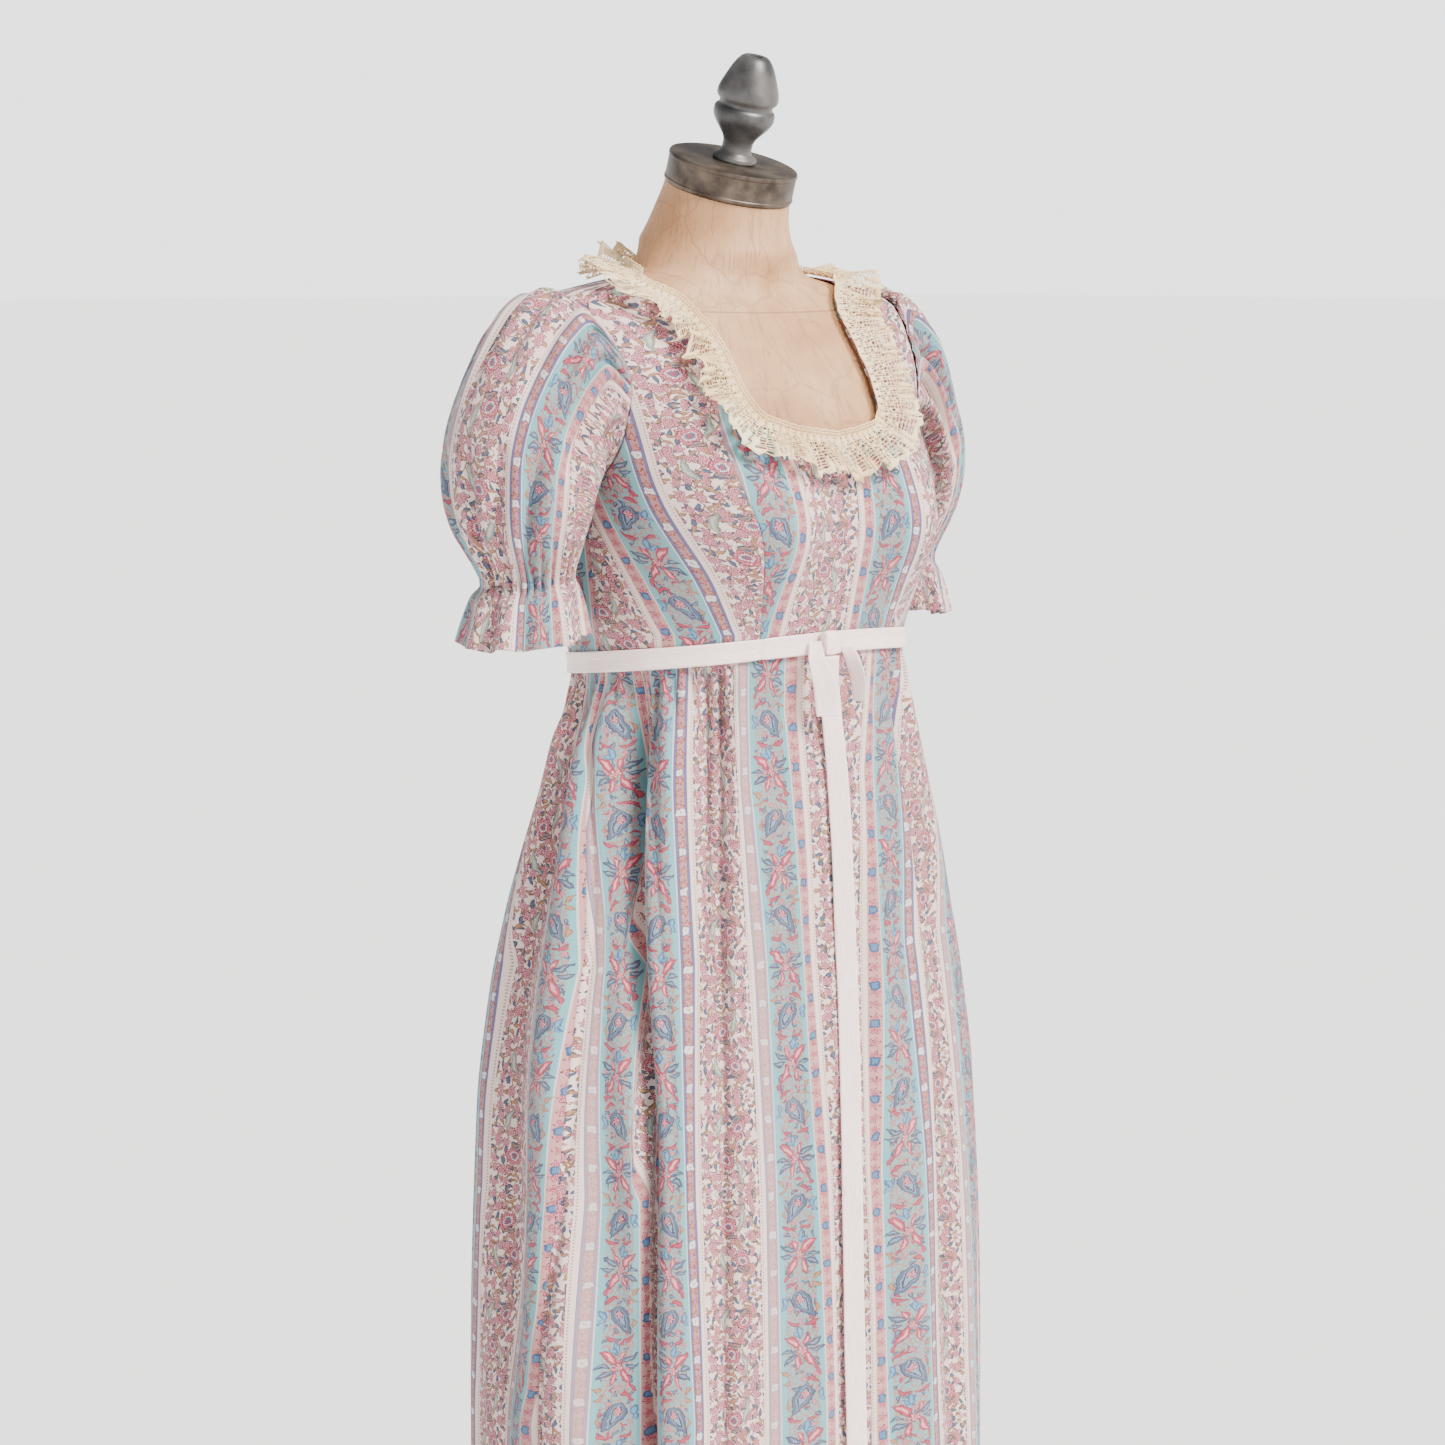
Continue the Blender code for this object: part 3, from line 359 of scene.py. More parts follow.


# Browned bronze: metal under a thin uneven brown skin
bronze, tree, skin = new_finish("browned_cast_bronze")
place = add(tree, "TexCoord", out=3)
blotch = add(tree, "TexNoise", {"Vector": place, "Scale": 45.0, "Detail": 6.0, "Roughness": 0.6})
browned = add(tree, "ValToRGB", {"Fac": blotch})
set_stops(browned, (0.36, dye("#3A322C")), (0.66, dye("#6C6054")))
grain = add(tree, "TexNoise", {"Vector": place, "Scale": 420.0, "Detail": 3.0})
pits = add(tree, "Bump", {"Height": grain, "Strength": 0.3, "Distance": 0.25 * MM})
dull = add(tree, "MapRange", {"Value": blotch, "To Min": 0.36, "To Max": 0.58})
feed(skin, {"Base Color": browned, "Normal": pits, "Roughness": dull, "Metallic": 0.75})

# Cast zinc, painted dark grey: sand-cast grain under a thin satin paint
zinc, tree, paint = new_finish("painted_cast_zinc")
place = add(tree, "TexCoord", out=3)
cloudy = add(tree, "TexNoise", {"Vector": place, "Scale": 38.0, "Detail": 5.0})
greys = add(tree, "ValToRGB", {"Fac": cloudy})
set_stops(greys, (0.35, dye("#3C3C3C")), (0.68, dye("#6B6866")))
sand = add(tree, "TexNoise", {"Vector": place, "Scale": 600.0, "Detail": 3.0})
sand = add(tree, "Bump", {"Height": sand, "Strength": 0.35, "Distance": 0.2 * MM})
feed(paint, {"Base Color": greys, "Normal": sand, "Roughness": 0.42, "Metallic": 0.55})

neck_axis = Vector((0.0, -math.sin(math.radians(NECK_LEAN)), math.cos(math.radians(NECK_LEAN))))
cap_foot = NECK_FOOT + neck_axis * (NECK_ROWS[-1][0] + METAL_GAP)
finial_foot = cap_foot + neck_axis * (CAP_THICK + METAL_GAP)
cap = turned_piece("neck_cap_disc", CAP_PROFILE, cap_foot, NECK_LEAN)
settle(cap, bronze, "form_neck_cap")
finial = turned_piece("acorn_finial", ACORN_PROFILE, finial_foot, NECK_LEAN)
settle(finial, zinc, "form_finial")


# The stand: a turned steel pole in a cast foot, under a flanged collar that carries the torso.
COLLAR_PROFILE = ((0, 0), (18, 0), (23.2, 2.4), (24, 3.2), (24, 11.6), (25, 12.6), (38.6, 15.4),
                  (40, 16.4), (40, 21.4), (39.2, 22), (0, 22))
BASE_PROFILE = ((0, 0), (178, 0), (179.6, 0.7), (180, 2), (180, 7.6), (179, 9), (176, 10.5),
                (120, 11.8), (60, 13.2), (40, 14), (0, 14))
collar_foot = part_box("form_collar")[0].z
pole_low, pole_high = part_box("form_pole")
pole_mm = (pole_high.z - pole_low.z) / MM
POLE_PROFILE = ((0, 0), (30, 0), (30, 5.2), (29, 6.4), (21, 14), (16, 19), (14.4, 23), (14, 26),
                (14, pole_mm), (0, pole_mm))
for node, name, profile, height in (
    ("form_base", "stand_base", BASE_PROFILE, 0.0),
    ("form_pole", "stand_pole", POLE_PROFILE, pole_low.z),
    ("form_collar", "stand_collar", COLLAR_PROFILE, collar_foot),
):
    piece = turned_piece(name, profile, Vector((0.0, 0.0, height)), 0.0)
    settle(piece, zinc, node)


# The bodice: five panels of printed cotton sewn in princess, side and centre-back seams.
# It fits the form closely, a few millimetres off it.
THIN_COTTON = 0.6 * MM
# The middle of the cloth off the form, lower down and, from a height on, over the shoulders
BODICE_STAND = 3.0 * MM
SHOULDER_DROP = 0.9 * MM
SHOULDER_FOOT = 1.33
SHOULDER_BLEND = 0.055
WAIST_HEIGHT = 1.122
WAIST_TILT = 14 * MM
ARMHOLE_FLOOR = 1.255
# The neck edge: turn from centre front, height on the wearer's right, height on the left
NECKLINE = (
    (0.0, 1.285, 1.285),
    (20.0, 1.290, 1.291),
    (28.0, 1.295, 1.300),
    (33.0, 1.299, 1.320),
    (37.0, 1.307, 1.345),
    (42.0, 1.325, 1.366),
    (46.0, 1.347, 1.377),
    (52.0, 1.368, 1.388),
    (63.0, 1.390, 1.398),
    (90.0, 1.408, 1.408),
    (122.0, 1.414, 1.414),
    (180.0, 1.417, 1.417),
)
# The princess seam: height, turn from centre front
PRINCESS = (
    (1.100, 34.5),
    (1.150, 35.5),
    (1.208, 40.0),
    (1.230, 42.0),
    (1.263, 45.0),
    (1.307, 47.5),
    (1.345, 45.5),
)
# The armhole: share from underarm to shoulder, turn in front, turn behind, height
ARMHOLE = (
    (0.00, 90.0, 90.0, 1.255),
    (0.15, 80.0, 100.0, 1.266),
    (0.40, 72.0, 109.0, 1.300),
    (0.60, 70.0, 111.0, 1.330),
    (0.80, 75.0, 106.0, 1.365),
    (0.92, 83.0, 97.0, 1.385),
    (1.00, 90.0, 90.0, 1.393),
)
# Shares of a panel's height where the side seam ends, and where the princess seam
# and the centre-back seam end
SIDE_TOP = 7 / 15
PRINCESS_TOP = 10 / 15
BACK_TOP = 9 / 15


def form_normal(turn, height):
    """Outward directions of the form's surface."""
    step, rise = 0.05, 0.4 * MM
    across = form_skin(turn + step, height) - form_skin(turn - step, height)
    up = form_skin(turn, height + rise) - form_skin(turn, height - rise)
    normal = np.cross(across, up)
    return normal / np.linalg.norm(normal, axis=-1, keepdims=True)


def on_bodice(turn, height, lift=0.0):
    """Points in the middle of the bodice's cloth, moved out by a lift."""
    over = ease((height - SHOULDER_FOOT) / SHOULDER_BLEND)
    off = BODICE_STAND - SHOULDER_DROP * over + lift
    return form_skin(turn, height) + form_normal(turn, height) * np.asarray(off)[..., None]


def waist_line(turn):
    """Height of the raised waist seam."""
    return WAIST_HEIGHT + WAIST_TILT * np.cos(np.radians(turn))


def neck_height(turn):
    """Height of the neck edge."""
    right, left = np.moveaxis(read_rows(NECKLINE, np.abs(turn)), -1, 0)
    return np.where(np.asarray(turn) > 0.0, left, right)


def princess_turn(height):
    """Where the princess seam runs."""
    return read_rows(PRINCESS, height)[..., 0]


def neck_edge_on_column(share):
    """Where a column of the centre front panel meets the neck edge."""
    low = np.full_like(share, NECKLINE[0][1] - 10 * MM)
    high = np.full_like(share, NECKLINE[-1][1])
    for _ in range(30):
        middle = 0.5 * (low + high)
        below = middle < neck_height(share * princess_turn(middle))
        low, high = np.where(below, middle, low), np.where(below, high, middle)
    return 0.5 * (low + high)


def princess_height(foot, top, up):
    """Height on the princess seam at a share of the panel's height."""
    usual = np.minimum(top, PRINCESS[-1][0])
    last = np.maximum(0.0, up - SIDE_TOP) / (PRINCESS_TOP - SIDE_TOP)
    return foot + (usual - foot) * up / PRINCESS_TOP + (top - usual) * last


def centre_front_turns(across, up):
    """Turns and heights of the centre front panel."""
    share = 2.0 * across - 1.0
    top = neck_edge_on_column(share)
    foot = waist_line(share * princess_turn(np.full_like(share, WAIST_HEIGHT)))
    height = princess_height(foot, top, up * PRINCESS_TOP)
    return share * princess_turn(height), height


def side_edge(up, front):
    """The outer edge of a side panel: the side seam, then the armhole."""
    share = np.clip((up - SIDE_TOP) / (1.0 - SIDE_TOP), 0.0, 1.0)
    ahead, behind, hole = np.moveaxis(read_rows(ARMHOLE, share), -1, 0)
    foot = waist_line(90.0)
    seam = foot + (ARMHOLE_FLOOR - foot) * up / SIDE_TOP
    return (ahead if front else behind), np.where(up < SIDE_TOP, seam, hole)


def side_panel_turns(across, up, side, front):
    """Turns and heights of a side front or back panel."""
    if front:
        foot = waist_line(princess_turn(WAIST_HEIGHT))
        top = neck_edge_on_column(np.full_like(up, side))
        start = princess_turn(top)
        height = princess_height(foot, top, up)
        turn = princess_turn(height)
        along = np.clip((up - PRINCESS_TOP) / (1.0 - PRINCESS_TOP), 0.0, 1.0)
        neck_turn = start + (90.0 - start) * along
        on_neck = up > PRINCESS_TOP
    else:
        foot = waist_line(180.0)
        height = foot + (NECKLINE[-1][1] - foot) * up / BACK_TOP
        turn = np.full_like(up, 180.0)
        along = np.clip((up - BACK_TOP) / (1.0 - BACK_TOP), 0.0, 1.0)
        neck_turn = 180.0 - 90.0 * along
        on_neck = up > BACK_TOP
    turn = np.where(on_neck, neck_turn, turn)
    height = np.where(on_neck, neck_height(side * neck_turn), height)
    outer_turn, outer_height = side_edge(up, front)
    here = turn + (outer_turn - turn) * across
    level = height + (outer_height - height) * across
    level = np.where(up <= 0.0, waist_line(here), level)
    return side * here, level


def thicken(obj, thickness):
    """Give a sheet its thickness, half of it on each side."""
    wall = obj.modifiers.new("wall", "SOLIDIFY")
    wall.thickness = thickness
    wall.offset = 0.0


# A seam draws the cloth in a little, over a fiftieth of a panel's width
SEAM_SINK = 0.6 * MM
SEAM_SHARE = 0.02


def bodice_panel(name, turns, print_at, columns, rows):
    """A panel of the bodice on its solid's own form."""
    def place(across, up):
        turn, height = turns(across, up)
        from_seam = np.minimum(across, 1.0 - across)
        return on_bodice(turn, height, -SEAM_SINK * np.exp(-((from_seam / SEAM_SHARE) ** 2)))

    obj = fine_sheet(name, columns, rows, place, lambda a, u: print_at(*turns(a, u)))
    thicken(obj, THIN_COTTON)
    return obj


# Where the print lies, read off the photograph: its metres at the centre front, along the middle
# of a border on the side (height, turn) and at the centre back, and its run in a degree of turn
FRONT_START = 0.0185
BORDER_START = 0.159
BORDER_LINE = ((1.1455, 46.4), (1.180, 53.4), (1.246, 67.0), (1.323, 73.5), (1.370, 80.0),
               (1.388, 90.0))
SIDE_DEGREE = 2.3 * MM
SIDE_SLOPE = 0.9
BACK_START = 0.012
BACK_DEGREE = 2.1 * MM


def front_print(turn, height):
    """The print runs straight down the centre front."""
    x = form_skin(turn, height)[..., 0]
    return np.stack((-(x + FRONT_START), height), axis=-1)


def side_print(side):
    """The print slants from the shoulder to the middle of the waist."""
    def at(turn, height):
        middle = read_rows(BORDER_LINE, height)[..., 0]
        across = BORDER_START + (np.abs(turn) - middle) * SIDE_DEGREE
        return np.stack((-side * across, height / SIDE_SLOPE), axis=-1)

    return at


def back_print(turn, height):
    """The print runs straight down the back, one side the other's mirror."""
    away = 180.0 - np.abs(turn)
    return np.stack((BACK_START + away * BACK_DEGREE, height), axis=-1)


# The print: fine plain-weave cotton, screen printed in lengthwise stripes. A floral field
# on cream, then a narrow border, then an aqua stripe with paisleys and lilies, then the
# next border, and so on; each half of the repeat mirrors the other. All of it is in mm, and
# what lies across the stripes is measured from the middle of the field.
REPEAT_MM = 240.0
ALONG_MM = 73.0
DAISY_MM = 29.0
FIELD_HALF = 29.0
TICKS_FROM_FIELD = 30.3
PINK_MIDDLE = 38.5
STRIPE_MIDDLE = 59.5
SCRIBBLE_HALF = 11.6
VIOLET_MIDDLE = 81.1
VIOLET_HALF = 4.9
# The cross-hatch's turn in a millimetre, in radians
HATCH_TURN = 6.98
CREAM = "#E0C9C0"


def shape_depth(tree, own, shape, bend=0.0, petals=5, lobe=0.2):
    """How deep a point lies inside a blossom, leaf or paisley whose edge is about one."""
    apart = add(tree, "SeparateXYZ", {"Vector": own}).node
    x, y = apart.outputs[0], apart.outputs[1]
    if shape == "blossom":
        angle = add(tree, "Math", {0: y, 1: x}, operation="ARCTAN2")
        wave = add(tree, "Math", {0: angle, 1: float(petals)}, operation="MULTIPLY")
        wave = add(tree, "Math", {0: wave}, operation="COSINE")
        edge = add(tree, "Math", {0: wave, 1: lobe, 2: 1.0 - lobe}, operation="MULTIPLY_ADD")
        away = add(tree, "VectorMath", {0: own}, out=1, operation="LENGTH")
    elif shape == "leaf":
        square = add(tree, "Math", {0: x, 1: x}, operation="MULTIPLY")
        edge = add(tree, "Math", {0: 1.0, 1: square}, operation="SUBTRACT")
        bent = add(tree, "Math", {0: square, 1: bend, 2: y}, operation="MULTIPLY_ADD")
        away = add(tree, "Math", {0: bent}, operation="ABSOLUTE")
    else:
        along = add(tree, "Math", {0: x, 1: 1.0}, operation="ADD")
        square = add(tree, "Math", {0: along, 1: along}, operation="MULTIPLY")
        bent = add(tree, "Math", {0: square, 1: bend, 2: y}, operation="MULTIPLY_ADD")
        away = add(tree, "Math", {0: bent}, operation="ABSOLUTE")
        blunt = add(tree, "Math", {0: along, 1: 0.5}, operation="POWER")
        taper = add(tree, "Math", {0: 1.0, 1: x}, operation="SUBTRACT")
        edge = add(tree, "Math", {0: blunt, 1: taper}, operation="MULTIPLY")
    return add(tree, "Math", {0: edge, 1: away}, operation="SUBTRACT")


def ink(tree, cloth, depths, rings):
    """Print shapes of one kind over the cloth so far; rings are (depth from edge, colour)."""
    depth = depths[0]
    for other in depths[1:]:
        depth = add(tree, "Math", {0: depth, 1: other}, operation="MAXIMUM")
    colours = add(tree, "ValToRGB", {"Fac": depth})
    colours.node.color_ramp.interpolation = "CONSTANT"
    clear = (*dye(rings[0][1])[:3], 0.0)
    set_stops(colours, (0.0, clear), *((spot, dye(colour)) for spot, colour in rings))
    return add(tree, "Mix", {0: colours.node.outputs[1], 6: cloth, 7: colours}, out=2,
               data_type="RGBA")


def motifs(tree, cloth, point, shape, table, rings, petals=5, lobe=0.2):
    """Print several motifs of one kind; the table gives middle, size, degrees and bend."""
    depths = []
    for spot, size, turn, bend in table:
        own = add(tree, "Mapping", {
            "Vector": point, "Location": (*spot, 0.0), "Scale": (*size, 1.0),
            "Rotation": (0.0, 0.0, math.radians(turn)),
        }, vector_type="TEXTURE")
        depths.append(shape_depth(tree, own, shape, bend, petals, lobe))
    return ink(tree, cloth, depths, rings)


def scatter(tree, cloth, point, cell_mm, size_mm, shape, rings, seed, petals=5, lobe=0.2,
            bend=0.0):
    """Print many small motifs, one in each uneven cell, each turned its own way."""
    shifted = add(tree, "VectorMath", {0: point, 1: (seed, seed * 0.7, 0.0)}, operation="ADD")
    cells = add(tree, "TexVoronoi", {"Vector": shifted, "Scale": 1.0 / cell_mm,
                                     "Randomness": 0.72}, voronoi_dimensions="2D").node
    away = add(tree, "VectorMath", {0: shifted, 1: cells.outputs["Position"]},
               operation="SUBTRACT")
    chance = add(tree, "SeparateColor", {0: cells.outputs["Color"]}).node
    spin = add(tree, "Math", {0: chance.outputs[0], 1: math.tau}, operation="MULTIPLY")
    turned = add(tree, "VectorRotate", {"Vector": away, "Angle": spin}, rotation_type="Z_AXIS")
    own = add(tree, "VectorMath", {0: turned, 1: (1.0 / size_mm[0], 1.0 / size_mm[1], 0.0)},
              operation="MULTIPLY")
    return ink(tree, cloth, [shape_depth(tree, own, shape, bend, petals, lobe)], rings)


def winding_stems(tree, cloth, across, along, table, half_width, colour):
    """Print winding stems; the table gives middle, swing, wave length and start."""
    covers = []
    for middle, swing, length_mm, lag in table:
        swung = add(tree, "Math", {0: along, 1: math.tau / length_mm, 2: lag},
                    operation="MULTIPLY_ADD")
        swung = add(tree, "Math", {0: swung}, operation="SINE")
        centre = add(tree, "Math", {0: swung, 1: swing, 2: middle}, operation="MULTIPLY_ADD")
        covers.append(add(tree, "Math", {0: across, 1: centre, 2: half_width},
                          operation="COMPARE"))
    cover = covers[0]
    for other in covers[1:]:
        cover = add(tree, "Math", {0: cover, 1: other}, operation="MAXIMUM")
    return add(tree, "Mix", {0: cover, 6: cloth, 7: dye(colour)}, out=2, data_type="RGBA")


print_cloth, tree, lawn = new_finish("printed_cotton_lawn")
cut = add(tree, "UVMap", uv_map="cut")
cut_mm = add(tree, "VectorMath", {0: cut, 1: (1000.0, 1000.0, 0.0)}, operation="MULTIPLY")
# The screens never meet quite true, so the drawing wanders by up to a millimetre or two
wander = add(tree, "TexNoise", {"Vector": cut_mm, "Scale": 0.17, "Detail": 3.0}, out=1,
             noise_dimensions="2D")
wander = add(tree, "VectorMath", {0: wander, 1: (0.5, 0.5, 0.5)}, operation="SUBTRACT")
wander = add(tree, "VectorMath", {0: wander, 1: (4.4, 4.4, 0.0)}, operation="MULTIPLY")
drawn = add(tree, "VectorMath", {0: cut_mm, 1: wander}, operation="ADD")
straight = add(tree, "SeparateXYZ", {"Vector": cut_mm}).node
loose = add(tree, "SeparateXYZ", {"Vector": drawn}).node
half = REPEAT_MM / 2.0
stripe = add(tree, "Math", {0: straight.outputs[0], 1: half}, operation="PINGPONG")
loose_stripe = add(tree, "Math", {0: loose.outputs[0], 1: half}, operation="PINGPONG")
from_field = add(tree, "Math", {0: loose.outputs[0], 1: -half / 2.0, 2: half / 2.0},
                 operation="WRAP")
along_field = add(tree, "Math", {0: loose.outputs[1], 1: ALONG_MM}, operation="PINGPONG")
field = add(tree, "CombineXYZ", {0: from_field, 1: along_field})

# The floral field: stems, leaves and rosettes, then feathers, fans and stars
CORAL, CORAL_DEEP, CORAL_PALE = "#A7384F", "#792138", "#D88C92"
ROSE, ROSE_DEEP, ROSE_PALE = "#983450", "#5E1B36", "#DBA0A4"
SLATE, SLATE_DEEP, SLATE_PALE = "#43556F", "#29364E", "#768A9C"
BLUE, BLUE_PALE = "#2A5C82", "#608EA9"
TAN, PEACH = "#7D573F", "#A77558"
SAGE, SAGE_DEEP, SAGE_PALE = "#889287", "#5F706A", "#B2B0A3"
AQUA, AQUA_GREY = "#65A2A9", "#6E999F"
FLORET = ((0.02, ROSE_DEEP), (0.20, ROSE_PALE), (0.36, ROSE), (0.62, ROSE_PALE),
          (0.78, ROSE_DEEP))
cloth = add(tree, "RGB")
cloth.default_value = dye(CREAM)
cloth = winding_stems(tree, cloth, from_field, along_field, (
    (-17.0, 5.5, 36.5, 0.4), (-6.0, 6.0, 24.3, 2.0), (5.0, 8.0, 48.7, 1.2),
    (17.0, 6.0, 29.2, 2.9)), 0.5, TAN)
cloth = scatter(tree, cloth, field, 7.4, (3.5, 1.6), "leaf",
                ((0.02, SLATE_DEEP), (0.50, SLATE)), 3.1)
cloth = scatter(tree, cloth, field, 8.2, (3.7, 1.4), "leaf",
                ((0.02, TAN), (0.55, PEACH)), 17.3, bend=0.8)
cloth = scatter(tree, cloth, field, 9.8, (4.2, 4.2), "blossom", FLORET, 41.7, petals=6)
cloth = motifs(tree, cloth, field, "leaf", (
    ((-9.0, 18.0), (11.0, 2.8), 72.0, 1.3), ((12.0, 52.0), (10.5, 2.7), 112.0, -1.3),
), ((0.02, SAGE_DEEP), (0.24, SAGE), (0.66, SAGE_PALE)))
cloth = motifs(tree, cloth, field, "leaf", (
    ((4.0, 10.0), (7.0, 1.6), 20.0, 1.8), ((-3.0, 36.0), (7.4, 1.6), 100.0, -1.9),
    ((5.0, 66.0), (7.0, 1.5), 150.0, 1.8), ((-14.0, 60.0), (6.4, 1.5), 40.0, 1.7),
), ((0.02, TAN), (0.5, PEACH)))
cloth = motifs(tree, cloth, field, "blossom", (
    ((-20.0, 33.0), (4.6, 4.6), 20.0, 0.0), ((16.5, 14.0), (5.0, 5.0), 8.0, 0.0),
    ((21.0, 38.0), (4.6, 4.6), 31.0, 0.0), ((-19.0, 6.0), (4.8, 4.8), 14.0, 0.0),
    ((1.0, 44.0), (5.0, 5.0), 25.0, 0.0), ((-8.0, 70.0), (4.8, 4.8), 3.0, 0.0),
), FLORET, petals=7, lobe=0.14)
cloth = motifs(tree, cloth, field, "blossom", (
    ((5.0, 25.0), (9.4, 7.0), 12.0, 0.0), ((-9.0, 50.0), (9.0, 6.6), -18.0, 0.0),
), ((0.02, CORAL_DEEP), (0.15, CORAL_PALE), (0.24, ROSE), (0.44, CREAM), (0.56, SLATE),
    (0.74, ROSE)), petals=15, lobe=0.07)
cloth = motifs(tree, cloth, field, "leaf", (
    ((2.0, 31.5), (6.4, 2.8), 10.0, -0.9), ((-7.5, 56.0), (6.0, 2.6), -14.0, -0.9),
), ((0.02, SLATE_DEEP), (0.34, PEACH), (0.66, SLATE)))

# The stripes printed over the field's edge: cream, border, aqua, border, cream
part_way = add(tree, "Math", {0: stripe, 1: 1.0 / half}, operation="MULTIPLY")
grounds = add(tree, "ValToRGB", {"Fac": part_way})
grounds.node.color_ramp.interpolation = "CONSTANT"
PINK_BORDER, VIOLET, BLUSH = "#BC8682", "#56547E", "#AA7570"
stops = (
    (0.0, CREAM, 0.0), (FIELD_HALF, CREAM, 1.0), (34.0, PINK_BORDER, 1.0), (43.0, "#C4BFBA", 1.0),
    (44.0, AQUA, 1.0), (47.8, AQUA_GREY, 1.0), (71.4, AQUA, 1.0), (75.2, "#C5C2BE", 1.0),
    (76.2, VIOLET, 1.0), (78.6, BLUSH, 1.0), (83.7, VIOLET, 1.0), (86.0, CREAM, 1.0),
    (91.0, CREAM, 0.0),
)
set_stops(grounds, *((edge_mm / half, (*dye(colour)[:3], cover))
                     for edge_mm, colour, cover in stops))
cloth = add(tree, "Mix", {0: grounds.node.outputs[1], 6: cloth, 7: grounds}, out=2,
            data_type="RGBA")

# The aqua stripe: a scribbled middle, lilies and paisleys, turned over at each repeat
off_middle = add(tree, "Math", {0: loose_stripe, 1: STRIPE_MIDDLE}, operation="SUBTRACT")
rows_up = add(tree, "Math", {0: loose.outputs[1], 1: 1.0 / ALONG_MM}, operation="MULTIPLY")
whole = add(tree, "Math", {0: rows_up}, operation="FLOOR")
odd = add(tree, "Math", {0: whole, 1: 1.0}, operation="PINGPONG")
flip = add(tree, "Math", {0: odd, 1: -2.0, 2: 1.0}, operation="MULTIPLY_ADD")
part_up = add(tree, "Math", {0: rows_up}, operation="FRACT")
aqua_across = add(tree, "Math", {0: off_middle, 1: flip}, operation="MULTIPLY")
aqua_along = add(tree, "Math", {0: part_up, 1: ALONG_MM}, operation="MULTIPLY")
aqua = add(tree, "CombineXYZ", {0: aqua_across, 1: aqua_along})
curls = add(tree, "TexVoronoi", {"Vector": drawn, "Scale": 1.0 / 3.8},
            voronoi_dimensions="2D", feature="DISTANCE_TO_EDGE")
in_middle = add(tree, "Math", {0: off_middle, 1: 0.0, 2: SCRIBBLE_HALF}, operation="COMPARE")
thin = add(tree, "Math", {0: curls, 1: 0.12}, operation="LESS_THAN")
both = add(tree, "Math", {0: in_middle, 1: thin}, operation="MULTIPLY")
cloth = add(tree, "Mix", {0: both, 6: cloth, 7: dye("#9C7466")}, out=2, data_type="RGBA")
PETAL = ((0.02, CORAL_DEEP), (0.26, CORAL), (0.66, CORAL_PALE))
BLADE = ((0.02, SLATE_DEEP), (0.34, SLATE), (0.74, SLATE_PALE))
CURL = ((0.02, CORAL_DEEP), (0.46, CORAL))
TWIG = ((0.02, TAN), (0.46, PEACH))
BUD = ((0.02, BLUE), (0.50, BLUE_PALE))
filled = scatter(tree, cloth, drawn, 11.5, (2.8, 1.1), "leaf", CURL, 7.7, bend=1.2)
filled = scatter(tree, filled, drawn, 9.5, (3.0, 1.3), "leaf", BLADE, 23.3, bend=0.9)
filled = scatter(tree, filled, drawn, 12.0, (2.5, 2.5), "blossom", FLORET, 61.3)
cloth = add(tree, "Mix", {0: in_middle, 6: cloth, 7: filled}, out=2, data_type="RGBA")
PAISLEY = ((0.02, SLATE_DEEP), (0.14, SLATE), (0.46, SLATE_PALE), (0.56, SLATE_DEEP),
           (0.74, SLATE_PALE))
for shape, rings, table in (
    ("leaf", CURL, (
        ((-8.0, 40.0), (6.4, 1.7), 160.0, 1.4), ((6.5, 40.0), (5.0, 1.6), 20.0, -1.4),
        ((-11.0, 3.0), (5.4, 1.6), 70.0, 1.3), ((7.0, 70.5), (6.0, 1.7), 152.0, -1.3))),
    ("leaf", TWIG, (
        ((-12.0, 52.0), (4.2, 1.5), 95.0, 1.3), ((12.0, 3.0), (4.4, 1.6), 60.0, 1.3),
        ((-11.5, 69.0), (4.0, 1.5), 30.0, -1.3))),
    ("leaf", BLADE, (
        ((-8.0, 25.0), (7.4, 2.3), 158.0, 0.8), ((-10.0, 19.5), (5.4, 1.9), 176.0, 0.9),
        ((-8.5, 10.5), (5.0, 1.8), 216.0, -0.8), ((9.0, 14.5), (6.6, 2.3), -24.0, 0.8),
        ((10.5, 20.5), (5.0, 1.8), 4.0, 0.9))),
    ("leaf", BUD, (
        ((1.5, 34.0), (5.4, 2.5), 80.0, 0.4), ((4.5, 32.0), (3.6, 1.7), 40.0, 0.4),
        ((11.5, 59.0), (4.4, 2.3), 70.0, 0.5), ((12.5, 54.5), (3.0, 1.7), 120.0, 0.5))),
    ("leaf", PETAL, (
        ((6.5, 27.0), (8.8, 3.2), 46.0, 0.5), ((-5.0, 12.0), (8.6, 2.9), 60.0, -0.5),
        ((3.5, 10.5), (6.8, 2.0), 104.0, 0.7), ((-3.0, 27.5), (5.4, 1.8), 112.0, -0.5))),
    ("paisley", PAISLEY, (((0.0, 54.0), (11.6, 6.8), 262.0, 0.30),)),
):
    cloth = motifs(tree, cloth, aqua, shape, table, rings)
cloth = motifs(tree, cloth, aqua, "blossom", (
    ((0.5, 19.5), (4.0, 4.6), 60.0, 0.0), ((0.6, 58.5), (4.0, 4.0), 0.0, 0.0),
), ((0.02, CORAL_DEEP), (0.28, CORAL_PALE), (0.60, ROSE)), petals=5, lobe=0.24)

